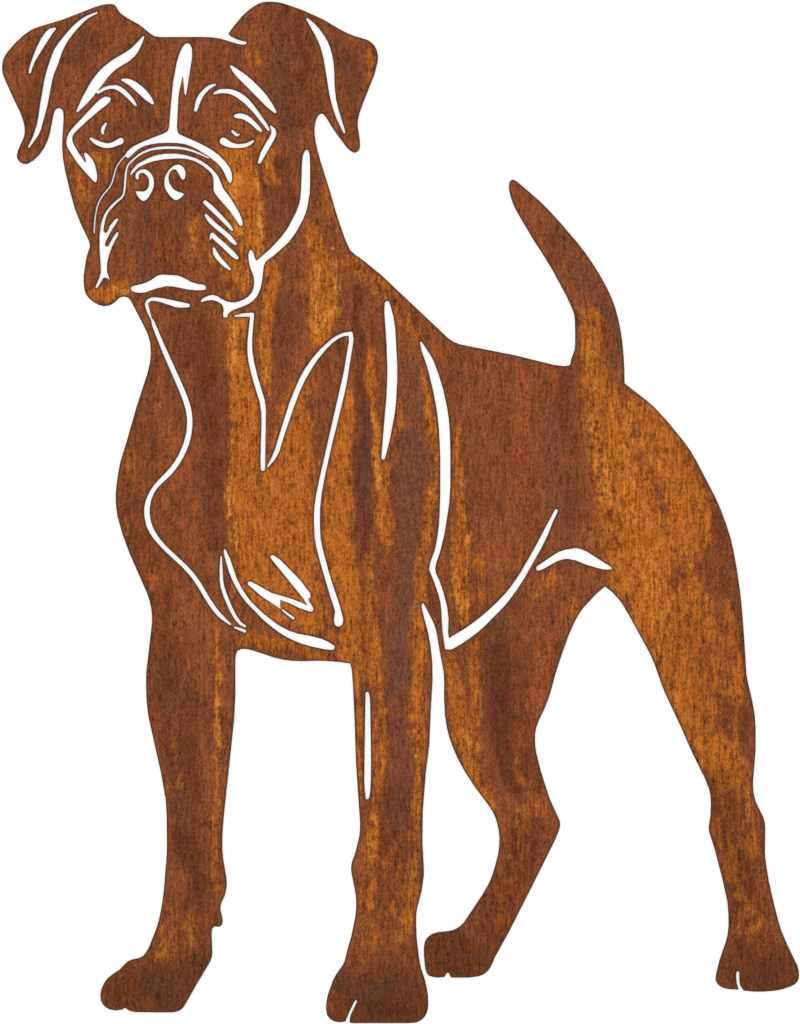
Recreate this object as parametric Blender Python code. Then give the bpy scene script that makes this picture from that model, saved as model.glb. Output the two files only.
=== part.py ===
"""A boxer dog cut out of one flat sheet of weathering steel, lying on its back.

The sheet lies in the XY plane with the dog's head towards +Y and its face up, and it is SHEET_THICKNESS
thick from Z = 0. The origin is under the middle of its outline. Every line of the drawing on the dog is a
slot that goes right through the sheet, and the whole figure is one piece.
"""

import math

import bmesh
import bpy
from mathutils import Vector

# Driving sizes, in metres.
FIGURE_HEIGHT = 0.750
SHEET_THICKNESS = 0.002
CUTTER_OVERRUN = 0.002

# How far a cut's straight chords may stray from its true curve, in metres.
CURVE_TOLERANCE = 0.00018

# Chords in the half circle at a slot's round end.
ROUND_END_CHORDS = 6

# Closest that two cut points stand on one cut, in metres.
WELD_DISTANCE = 0.00001

RUST_COLOUR = (0.19, 0.065, 0.022, 1.0)
RUST_ROUGHNESS = 0.85
RUST_METALLIC = 0.1

# The pattern. Every place and slot width below is in shares of the figure's own height: one unit is about
# a thousandth of it, X runs to the right and Y runs down from the pattern's top left corner.
# A run of the outline starts at a sharp corner and ends at the next run's first point.

RIGHT_EAR_NOTCH = [(246.2, 41.6), (240, 40.2), (235, 38.5), (231, 36.5), (229, 34.7)]

RIGHT_EAR_AND_NAPE = [
    (228.5, 33.2), (235, 24.5), (245, 13.2), (255, 5.5), (262, 2.4), (270, 1.6), (280, 2.6), (295, 7.2),
    (310, 13.2), (325, 20.4), (340, 29.4), (350, 34.4), (360, 37.8), (368, 40.2), (374, 45), (377.2, 52),
    (377.7, 59), (375.2, 71), (371.5, 81), (365.5, 96.5), (361.2, 107), (358.2, 117), (357.4, 125),
    (358.7, 134.5), (359.8, 143.5), (358.8, 149.6), (354.6, 152.6), (349.1, 149.8), (342.9, 142.5),
    (336.6, 134), (331.1, 125.9), (326.7, 118.3), (323.4, 114.2), (320.5, 113.5), (317.2, 116.4),
    (314.7, 123.8), (314.2, 132), (315.5, 142.5), (319.1, 157), (324.5, 175), (330, 192), (335.3, 210.7),
    (340.6, 227), (345.8, 241.5),
]

BACK = [
    (350, 250.2), (355, 254.6), (362.5, 259.8), (370, 265.8), (380, 274), (400, 292.8), (420, 311.4),
    (440, 330.6), (447, 337.3), (452, 341), (458, 343.8), (470, 346.4), (490, 350.4), (515, 355.3),
    (530, 359.2), (550, 364), (558, 365.5), (565.2, 366.1), (569.2, 365.4),
]

TAIL = [
    (570.5, 363.6), (570.8, 360.3), (572.8, 355), (574.8, 349), (575.2, 340), (575, 325), (574, 314),
    (570.7, 305), (565.9, 295), (560.4, 285), (552.4, 270), (543.3, 255), (533.5, 240), (524.7, 225),
    (515.9, 210), (511.6, 200), (509.3, 191), (508.9, 185.5), (509.9, 181.3), (512.6, 179.6), (516, 180.9),
    (520, 184.2), (530, 192.6), (540, 201.4), (550, 211.5), (560, 222.4), (570, 234), (580, 246),
    (590, 259.7), (600, 275.5), (607.9, 290), (614.2, 305), (618.4, 320), (621.5, 337), (623.4, 355),
    (624.2, 370),
]

RUMP_AND_OUTER_HIND_LEG = [
    (624.4, 383.3), (640, 395.4), (650, 403.3), (660, 413.1), (670, 424.5), (680, 436.7), (689.8, 449.9),
    (695.7, 459.8), (706.1, 480), (716.6, 500), (724.6, 520), (731, 540), (735.2, 560), (738.4, 580),
    (741, 600), (742.7, 620), (744.2, 640), (745.2, 660), (746.6, 676), (749.6, 690), (753, 705),
    (755, 718), (755.6, 735), (755.4, 752), (753.9, 768), (752.9, 782), (753.5, 793), (755.5, 801.3),
    (759.5, 810), (763.3, 817.4), (764.9, 823.5), (765, 840), (764.9, 855), (766.3, 867), (769.3, 884),
    (775.5, 910.4), (781.2, 930.6), (787.7, 946), (794.6, 960), (797.8, 967.3), (798.9, 974),
    (798.2, 980), (795, 984.2), (789, 987.2), (780, 989.9), (770, 991.3), (758, 991.8), (750, 991.4),
]

OUTER_HIND_PAW_SLIT = [
    (743.8, 990.7), (741.7, 988), (739.9, 984.6), (739.3, 980), (739.2, 972.6), (737.7, 971),
    (736.3, 972.6), (736.2, 980), (736.9, 984.6),
]

OUTER_HIND_LEG_INSIDE = [
    (738.6, 989.7), (731, 989.5), (724.3, 988.3), (719.5, 985.9), (716.4, 982.4), (715.5, 978), (717.2, 970),
    (719.7, 959.5), (722.9, 949.8), (726.5, 939.8), (728.3, 930), (728.5, 915), (727.6, 903), (724.8, 890),
    (721.4, 875), (717.5, 860), (714.6, 849), (711.3, 839), (709.2, 832.5), (708.8, 826.5), (710, 819.5),
    (710.7, 812), (710.8, 800), (709.6, 791), (705.6, 780), (698.1, 765), (690.9, 750), (684.5, 735),
    (677.9, 720.5), (667.9, 699.5), (662.5, 687), (658.1, 674), (651.3, 656.5), (640, 635.5),
    (633.7, 623.9), (627, 611.9), (619.9, 600.8), (611, 591.2),
]

NEAR_HIND_LEG_BACK = [
    (604.6, 586.5), (597.5, 592.5), (590, 600.2), (580, 611.9), (572.9, 625), (567, 639), (561.5, 654.5),
    (555, 674.8), (549, 696.5), (543.7, 710), (538.6, 720.6), (535.7, 729), (534.8, 738), (535.5, 749),
    (538.3, 762.5), (543.5, 780.5), (550, 800), (555.6, 812.3), (559.2, 819.8), (560, 825), (558.6, 831),
    (554.9, 840), (546, 857.5), (535, 880), (524.9, 900), (514.9, 920), (505, 939), (497.7, 951.9),
    (494.4, 958), (491.8, 964.6), (488.5, 970), (483.7, 974.2), (478, 976.5), (471, 977.5), (460, 977.8),
]

NEAR_HIND_PAW_NOTCH = [
    (451.3, 977.7), (449.9, 975.6), (449.3, 973.8), (447.8, 972.8), (446.2, 973.5), (445.2, 975.1),
]

NEAR_HIND_LEG_FRONT_AND_GROIN = [
    (444.3, 977), (438, 977.7), (432.9, 977.1), (429, 975.7), (426.5, 973), (425.2, 969), (424.4, 962),
    (423.8, 953), (424, 945.5), (425.1, 941), (428, 937), (432.2, 934), (437.5, 932.3), (445, 931.6),
    (452, 930.5), (457.5, 928), (462.3, 924.4), (467.5, 917), (475.4, 905.5), (485.1, 890.2), (490.4, 880),
    (494.5, 868), (498, 854.5), (499.4, 842), (498.7, 831), (495.8, 819), (491.2, 809.3), (484.4, 800.3),
    (477, 790.3), (470, 780), (463.7, 770), (458.3, 760), (453.8, 750), (450, 740), (447.2, 730),
    (445.3, 719), (444.4, 708), (443.9, 695), (444.1, 682), (443.6, 672), (441.5, 661), (439.4, 650),
    (437.8, 640), (435.9, 630), (433.1, 622), (429.3, 614.5), (425.8, 608), (423.9, 604.2), (422.5, 602.9),
    (421.3, 604.7), (421.7, 609), (423.3, 615), (425.9, 624.5), (428.6, 636), (430.7, 649), (432, 661),
    (432.4, 675), (431.9, 690), (430.8, 705), (429.9, 725), (428.9, 747), (426.3, 766), (424.3, 787),
    (422.9, 805), (422.2, 825), (422.3, 848), (423.3, 863), (423.7, 874), (422.5, 885), (420, 897),
    (417.3, 906), (416.1, 914), (416, 930), (416.9, 943), (418.6, 957), (420.8, 968.5), (423.8, 977),
    (426.1, 985.5), (427.6, 994.5), (428.1, 1003), (427.4, 1010), (425, 1016), (420.7, 1020.4),
    (415.3, 1022.6),
]

NEAR_FORE_PAW_SOLE = [(409, 1023.2)]

NEAR_FORE_PAW_HEEL = [(351.6, 1023.2)]

NEAR_FORE_PAW_SLIT = [
    (349.6, 1022.4), (349.6, 1019.2), (350.9, 1014.5), (353.1, 1009.3), (355.6, 1004.1), (357, 1001.1),
    (355.9, 999.9), (354.6, 1001), (352.4, 1005.4), (349.9, 1010), (347.8, 1014.8), (346.3, 1018.8),
]

NEAR_FORE_LEG = [
    (345.1, 1021.6), (340, 1022.3), (334.3, 1021.4), (330, 1019), (327.3, 1015.5), (326.1, 1010),
    (326.2, 1003.3), (327.6, 995.5), (330.1, 987.7), (333.3, 979.5), (337.3, 972.6), (341.3, 967.1),
    (344.1, 962.6), (345.6, 957), (348, 947.2), (350.7, 938.5), (353.1, 927), (355.2, 917), (356.2, 907),
    (355.9, 897), (354.4, 887.5), (352.4, 878.5), (351, 870), (351.6, 862.8), (354.2, 856.2),
    (356.9, 846.5), (359.2, 836.5), (360, 826), (359.4, 811), (357.8, 790), (356.3, 770), (355.2, 748),
    (354.7, 725), (353.6, 700), (352.6, 681), (351.5, 669),
]

CHEST_UNDERSIDE_AND_FAR_FORE_LEG = [
    (350.2, 663.6), (345, 662.7), (335, 661.6), (320, 660.8), (300, 661.2), (288, 660.4), (275, 657.8),
    (262, 653.7), (252, 650.3), (244.5, 648.9), (240, 649.3), (236.6, 651.8), (235.2, 657), (235.1, 675),
    (235, 697), (233.8, 720), (231.5, 740), (229.4, 761), (227.3, 780), (225.2, 801), (223, 821),
    (221.9, 840), (222.2, 853), (224, 866), (226.2, 878.5), (226.3, 887), (224.4, 896), (221.4, 902.3),
    (220, 907.5), (221, 914), (222.4, 920.5), (221.6, 924.8), (218.4, 926.8), (214.3, 926.6),
    (212, 928.6), (211.3, 934), (211.7, 943), (212.1, 952), (211.2, 958.5), (208.5, 964.3), (202, 975),
    (195, 986.7), (188.7, 997.8), (185, 1004.5), (181.5, 1009.2), (176, 1011.9), (169, 1012.6),
    (150, 1012.4), (134, 1012), (129, 1010.5),
]

FAR_FORE_PAW_CHEST_AND_LEFT_EAR = [
    (125, 1007.8), (122.6, 1009.4), (116.6, 1010.5), (110.1, 1009.7), (105, 1006.9), (101.7, 1002.8),
    (100.3, 997.5), (100.7, 991.5), (102.9, 985), (106.8, 979.2), (112.4, 974.4), (119.9, 969.4),
    (125.4, 963.3), (130, 960.2), (139.5, 957.9), (143.8, 955.3), (147.5, 950), (151.4, 941.1),
    (155.3, 931.5), (158.8, 920), (161.3, 907.5), (163.3, 894.5), (165.3, 872), (166.8, 850), (166.8, 828),
    (166, 803), (164, 789.5), (160.7, 772), (156.2, 752), (151.4, 731), (147.8, 713), (146.1, 693),
    (146.2, 672), (148, 655), (150.3, 636), (152, 620), (151, 607.5), (147.6, 595), (141.2, 580),
    (134.3, 564.5), (127.7, 549), (121, 530), (117, 514), (115.6, 498), (117, 480.5), (120.3, 462),
    (127, 440), (135.5, 410), (142, 389.5), (147, 374.5), (150, 362.5), (150.8, 352), (149.9, 341.5),
    (147, 332.5), (141.4, 321.5), (134.2, 307.7), (130.2, 300), (127.2, 297.2), (122.8, 296.5),
    (118.8, 297.9), (114.2, 302.3), (109, 305.2), (103, 306), (96.5, 303.9), (90.2, 299.6), (86.2, 294.8),
    (84.2, 288.5), (83.5, 279), (84.5, 268), (87.2, 254.5), (89.8, 246.5), (89.2, 242), (85.2, 233.8),
    (79.4, 221), (75.2, 210), (71.5, 197.5), (68, 183.5), (64.6, 168.5), (62.6, 156), (62, 144),
    (62.8, 130), (63.5, 117), (62.5, 110.3), (59, 107.8), (55.5, 108.9), (53.5, 113), (51.5, 123),
    (49, 135), (45, 145.5), (39.5, 154), (32, 161), (26, 163.9), (20.5, 162.6), (17, 158.3), (17.4, 152),
    (20.5, 144.8), (24, 136.5), (24.6, 128), (22, 117.5), (18.5, 108.8), (14, 100), (8.5, 87.5),
    (3.5, 76.5), (2, 68), (3.2, 59.3), (6.5, 53.2), (14, 44.2), (22, 36.5), (31, 30), (42, 25.8),
    (60, 20.5), (80, 12.8), (93, 7.7), (104, 4.5), (110, 4), (114.2, 4.6), (116.2, 7), (119, 11.8),
    (126, 17.2), (138, 23.8), (146.5, 30.2), (152.5, 35.2), (157, 36.8), (165, 37.1), (185, 37),
    (205, 37), (217, 37.9), (227, 40.6), (236, 43.5), (244, 44.6),
]

FIGURE_OUTLINE = [
    RIGHT_EAR_NOTCH, RIGHT_EAR_AND_NAPE, BACK, TAIL, RUMP_AND_OUTER_HIND_LEG, OUTER_HIND_PAW_SLIT,
    OUTER_HIND_LEG_INSIDE, NEAR_HIND_LEG_BACK, NEAR_HIND_PAW_NOTCH, NEAR_HIND_LEG_FRONT_AND_GROIN,
    NEAR_FORE_PAW_SOLE, NEAR_FORE_PAW_HEEL, NEAR_FORE_PAW_SLIT, NEAR_FORE_LEG,
    CHEST_UNDERSIDE_AND_FAR_FORE_LEG, FAR_FORE_PAW_CHEST_AND_LEFT_EAR, [(246.6, 43.9)],
]

# A slot that is one tapering line is given by its middle line, as X, Y and the slot's width there.
LINE_SLOTS = {
    "left_ear_fold": [
        (96.4, 12.6, 2.2), (86, 17.6, 3.6), (76, 26, 5.4), (66.5, 37.3, 6.2), (58.2, 50, 8.4),
        (53.3, 63.5, 9), (49.2, 75, 8.2), (46.3, 90, 8), (43.5, 105, 7.7), (40.4, 120, 6),
        (36.8, 132.5, 5.2), (32.8, 140, 3.4), (28.6, 146.8, 2.2),
    ],
    "left_ear_shade": [
        (54.2, 28.8, 3.2), (50.5, 31, 6), (45.5, 37.3, 7.2), (40.9, 45, 6.7), (37, 52.5, 5.6),
        (33.3, 60, 4), (30.6, 67.5, 3.3), (29.6, 72, 2.8),
    ],
    "right_ear_fold": [
        (307, 18.8, 2.2), (312.3, 25, 5.2), (319.2, 35, 7.5), (323.9, 44, 8.8), (327.6, 56, 9.2),
        (329.7, 70, 8.7), (331, 85, 6.9), (333.2, 100, 5.5), (337.5, 115, 4.9), (341.8, 126, 3.5),
        (344.2, 132.2, 2.2),
    ],
    "left_brow": [
        (143.1, 36.8, 2.2), (141, 40.5, 4.2), (138, 45.2, 6), (133.6, 50.9, 8.2), (127.5, 56.3, 9.6),
        (120, 60.6, 10), (112, 65.9, 10), (103.9, 73.4, 11), (96.5, 83, 11.5), (90.5, 92, 10),
        (85.2, 99.5, 8), (80.8, 105.6, 5.2), (77.3, 110.8, 2.8),
    ],
    "left_brow_crease": [
        (98, 92.3, 3.2), (104, 88.6, 3.6), (111, 86.8, 3.6), (116, 87.1, 4.4), (121, 89.7, 4.7),
        (126, 93.9, 4.5), (130.5, 98.4, 4), (134.2, 103.3, 3), (135.5, 105.2, 2.2),
    ],
    "left_brow_leaf": [
        (121.9, 79.5, 2.4), (126.3, 80.6, 4.8), (130.7, 82.6, 6.2), (135.5, 85.9, 7.2), (140.2, 90, 7.7),
        (145, 94.8, 7.4), (149.5, 99.6, 5.6), (152.5, 103, 2.8),
    ],
    "right_brow_crease": [
        (214.2, 93.2, 2.6), (219, 91.3, 4.2), (225, 90.9, 4.6), (231, 91.7, 5.2), (237.5, 94.5, 5.8),
        (244, 99, 5.9), (250, 105, 5.4), (255, 110.9, 4.5), (260, 117.8, 4), (265, 124.6, 3.8),
        (268.4, 129.7, 2.4),
    ],
    "right_brow_tick": [
        (214.8, 84.6, 2.2), (210, 86.4, 3.9), (205.5, 89.8, 4.5), (201.6, 94.2, 4.8), (198.8, 99, 5),
        (197, 104, 4.8), (195.4, 109.8, 3.6),
    ],
    "right_temple_leaf": [
        (230.8, 66.2, 2.6), (235, 70.4, 5.2), (240, 74.9, 7.2), (247, 81.2, 8.4), (256, 90, 8.6),
        (263, 97.4, 8.1), (269.5, 105.3, 6.2), (275, 111.7, 2.8),
    ],
    "right_upper_lid": [
        (235.4, 115.9, 3.8), (239.5, 115.7, 5.2), (244.5, 116.9, 5.4), (249, 119.6, 5.2),
        (253.5, 123.4, 4.6), (257.8, 127.8, 4.2), (260.7, 130.6, 2.8),
    ],
    "right_eye_corner": [
        (270.3, 125.9, 1.6), (272.7, 129, 3.8), (273.6, 132.7, 5.1), (272.2, 137.3, 5.5),
        (267.6, 145, 6), (262.6, 154, 5.4), (259.2, 162, 3.4),
    ],
    "left_lower_lid": [
        (90.2, 138.3, 2.2), (94, 140.9, 4.2), (99, 143.6, 4.8), (105, 145.4, 5), (111, 145.1, 5.2),
        (116, 143.2, 5.8), (120.3, 140.9, 6.8),
    ],
    "left_eye_glint": [
        (105.6, 123.4, 2.4), (103.9, 126, 3.6), (102.5, 129.2, 3.8), (102.2, 131.9, 3.2), (103.2, 133.6, 1.8),
    ],
    "right_lower_lid": [
        (223, 140.9, 7.4), (228, 143.9, 6.4), (233.5, 145.6, 4.8), (240, 146, 4.1), (246, 145, 4),
        (250.5, 142.8, 3.4), (253.1, 140.8, 2.2),
    ],
    "right_eye_glint": [(232, 130.9, 2.4), (234, 133, 3.2), (236.5, 134.8, 3), (238.8, 134.3, 1.8)],
    "muzzle_outer_line": [
        (126.2, 154.4, 1.8), (124.2, 156, 1.6), (120.6, 160.2, 1.6), (116.7, 166, 1.6), (114, 174, 1.7),
        (112, 182, 1.7), (109, 187.6, 1.7), (103.5, 194, 1.7), (99.3, 200.5, 1.7), (96.7, 207.5, 1.7),
        (95.1, 216, 1.7), (94.1, 225, 1.7), (93.9, 232.6, 1.6),
    ],
    "muzzle_inner_line": [
        (208.6, 158, 1.2), (205, 156.2, 1.5), (200, 153.8, 1.8), (195, 151.7, 2.1), (190, 150, 2.3),
        (185, 148.7, 2.4), (178, 147.7, 2.8), (170, 147.4, 2.9), (160, 147.8, 2.9), (150, 149.5, 2.6),
        (145, 151.4, 2.5), (140, 154, 2.4), (135.3, 157.5, 2.2), (131.6, 160.9, 2.1), (128.3, 164.2, 2),
        (126.5, 168.2, 2.1), (125.6, 173, 2.3), (125, 180, 2.7), (124.5, 186, 2.5), (124, 191.5, 2.2),
        (123, 195.3, 2.2), (120.5, 198.3, 2.4), (115, 202.7, 2.6), (110.2, 207.8, 3),
    ],
    "right_whisker_1": [
        (204.7, 202, 4), (210, 206.7, 4.9), (216, 212.6, 4.5), (222, 218.5, 4.2), (228, 224.8, 3.8),
        (231.9, 229.8, 2.4),
    ],
    "right_whisker_2": [
        (205.4, 214.9, 2.6), (209, 219.5, 4.2), (214.5, 224.9, 4.6), (221, 230.2, 4.6), (227, 235.2, 4.6),
        (232, 240.5, 4.6), (235.2, 243.6, 3),
    ],
    "right_whisker_3": [
        (212, 234.8, 4.8), (216.4, 239.1, 4.8), (222.5, 244.3, 5), (228.5, 250.1, 5), (233.4, 254.8, 5),
        (236.8, 257.8, 3.4),
    ],
    "right_whisker_3_hook": [(211.6, 234.6, 3.2), (210.5, 236.6, 2.6), (210.1, 238.8, 1.8)],
    "right_whisker_4": [
        (213.6, 248.5, 2.8), (214.8, 252.8, 4.4), (218.5, 258.3, 4.6), (223, 263.2, 4.4),
        (227.5, 267.3, 3.4), (229.9, 269.3, 2.2),
    ],
    "jowl_and_left_chest": [
        (188, 305.4, 3.8), (181, 304.8, 5.8), (175, 303.9, 6), (169, 302.2, 5.3), (163, 300.4, 4.6),
        (156, 299.1, 3.8), (151, 299.2, 3.6), (147.6, 301.1, 3.6), (146.3, 304, 3.6), (147.3, 308, 3.7),
        (148.7, 312.5, 3.3), (149.9, 316, 2.4), (150.9, 318.4, 1.4), (152.2, 320.8, 2.8), (153.9, 325.5, 4),
        (156.3, 331.5, 4.3), (160.3, 341.5, 4.5), (164.6, 351.5, 4.9), (168.8, 361, 5.1), (173.4, 371.5, 5.3),
        (178.2, 382, 5.4), (182.4, 392, 5.6), (186.2, 402, 5.7), (188.7, 412, 5.7), (189.6, 422, 5.6),
        (188.9, 432, 5.6), (186.6, 442, 5.6), (183.2, 451, 5.6), (178.5, 460, 5.5), (171.5, 470, 5.5),
        (163, 478.8, 5.3), (157, 484.6, 4.8), (152.8, 490.3, 4.7), (149, 498, 5.2), (146.8, 507, 5.8),
        (146.9, 516, 5.8), (149.2, 526, 5.7), (154.2, 535.4, 5.2), (162, 545.2, 4.6), (172, 555, 4.3),
        (182.8, 564.8, 4.3), (190.6, 573, 4.6), (197.3, 582, 4.7), (203.4, 592, 4.6), (209.4, 602, 4.7),
        (216.4, 611.8, 4.4), (224, 619.4, 3.6), (230.2, 624.4, 1.8),
    ],
    "left_chest_tick": [(234.4, 627.4, 1.8), (239.5, 629.1, 2.8), (244.9, 631.3, 2.8)],
    "left_chest_hair_1": [
        (220.9, 556.8, 1.8), (220.8, 563, 2.6), (220.8, 572, 3.2), (221.5, 583, 3.8), (224.2, 593.2, 4.1),
        (228.4, 603.7, 3.9), (232.5, 612.5, 3.8), (237, 619.8, 3.4), (240.9, 624, 2.9), (244.8, 626.3, 2.4),
    ],
    "left_chest_hair_2": [
        (224.5, 550.4, 2.6), (226, 555, 4.2), (227.8, 560, 4.9), (230.9, 570.2, 5.2), (234.8, 580.4, 4.8),
        (240.4, 590.6, 4.6), (247.5, 600.8, 4.3), (256.5, 610.3, 4.3), (264.5, 617.8, 4.9), (274, 625.5, 5.4),
        (283, 631.4, 6.3), (292, 635.8, 7.3), (301, 638.9, 8.8), (311, 641.3, 10), (320, 643.5, 9.7),
        (327, 645.7, 8), (331.8, 647.4, 5.4),
    ],
    "chest_fleck": [(282.3, 610.1, 1.8), (287.2, 613.9, 2.2), (293.2, 618.3, 2.6)],
    "throat_turn": [(234.6, 316, 1.6), (240, 315.3, 3.2), (246, 314.6, 3.8), (251.8, 314.5, 4.2)],
    "throat": [
        (251.8, 314.6, 4.4), (251.5, 320, 4.1), (250.4, 330, 4.4), (249.7, 340, 4.8), (249.6, 350, 5.1),
        (250.7, 360, 5.5), (253, 370, 5.7), (255.5, 380, 5.6), (258.6, 390, 5.6), (261.8, 400, 5.5),
        (263.3, 410, 5.1), (263.5, 420, 4.7), (263.2, 430, 4.5), (262.9, 445, 4.6), (262.6, 460, 4.8),
        (262.7, 468.8, 4.4),
    ],
    "breast_left": [
        (267.5, 466.5, 1.8), (269.7, 463.2, 3), (272.6, 459.2, 4), (277.1, 450, 5), (280, 440, 5),
        (283.2, 430, 5.2), (286.5, 420, 5.6), (289.8, 410, 5.6), (293.2, 400, 5.8), (297.3, 390, 5.7),
        (301.7, 380, 5.9), (307.3, 370, 5.9), (314, 360, 5.2), (322.2, 350, 4.8), (327.6, 344.7, 4),
        (332.5, 340.3, 3.8), (338, 336.6, 3.5), (343.5, 334.4, 3.5), (350, 333.4, 4.2),
    ],
    "breast_right": [
        (350.6, 333.8, 4.4), (351, 340, 4.6), (349.5, 350, 4.7), (348, 360, 4.6), (346.4, 370, 4.9),
        (344.5, 380, 5.4), (342.4, 390, 5.6), (337.7, 410, 5.4), (332.7, 430, 5.2), (328.1, 450, 4.8),
        (323.7, 470, 4.9), (319.5, 489.5, 5.3), (317, 508, 6), (316.7, 522, 6.2), (317.7, 540, 6),
        (322.4, 560, 5.9), (328.1, 580, 5.7), (331.2, 590, 6), (334.4, 600, 6.3), (336.2, 605, 6.2),
        (337.7, 611, 6), (338.2, 615.5, 7.8), (338.4, 619.5, 9.4), (338.4, 622.2, 8.8),
    ],
    "shoulder_front": [
        (387, 303.4, 5.2), (387.8, 310, 7.6), (389.4, 320, 9.2), (390.4, 330, 9.7), (391.1, 342, 9.8),
        (391.9, 360, 10.1), (392.2, 372, 10.2), (391.6, 390, 10), (390.3, 408, 10.1), (388.9, 420, 9.2),
        (387.2, 432, 8.2), (385.2, 445, 6.6), (383.4, 455, 4.6), (383, 457.7, 4),
    ],
    "shoulder_back": [
        (420.8, 342.4, 2.2), (422, 345.5, 3.8), (424, 350.3, 5.5), (428.8, 360, 7.6), (432.4, 370, 8.7),
        (435.3, 380, 9.6), (438, 390, 10.2), (440.1, 400, 10.4), (442, 410, 10.7), (443.3, 420, 11),
        (444.2, 430, 10.8), (444.9, 445, 10.5), (445.3, 470, 10.2), (445.1, 490, 10), (444.7, 500, 9.7),
        (443.8, 510, 8.6), (442.8, 520, 7.5), (441.6, 530, 7), (439.8, 540, 6.2), (437.5, 550, 5.8),
        (434, 560, 6), (432.4, 565.5, 6.1), (432, 569, 6.2),
    ],
    "elbow": [
        (432, 569, 6.2), (433.7, 575, 5.3), (436.1, 580, 5.5), (439.7, 590, 5.6), (442.6, 600, 5.7),
        (444.3, 610, 6.5), (444.9, 619, 7.2), (445, 626, 6.5), (445.2, 633, 5.6), (446.4, 641, 5.8),
        (447.2, 646, 5.6),
    ],
    "elbow_corner": [(446.4, 647.6, 3.8), (450.5, 647.6, 4.2)],
    "belly_line": [
        (450.2, 643.9, 11.4), (460, 638.1, 11.2), (470.1, 631.3, 10.8), (480, 623.7, 10), (490, 614.5, 8.8),
        (500, 604.8, 8.2), (510, 593.2, 7.2), (519.9, 579.2, 6.5), (530, 561.8, 6.1), (539.6, 544.9, 6),
        (547, 530, 5.2), (551.5, 520, 3.9), (556, 510.9, 3.6),
    ],
    "fore_leg_slot": [
        (367, 693.6, 3.6), (367.5, 699, 4.7), (367.6, 715, 5.1), (367.5, 735, 5.8), (367.6, 755, 6.6),
        (367.4, 775, 6.9), (367.3, 787, 6.2), (367.3, 794, 5), (367.2, 797.6, 3.6),
    ],
}

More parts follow.
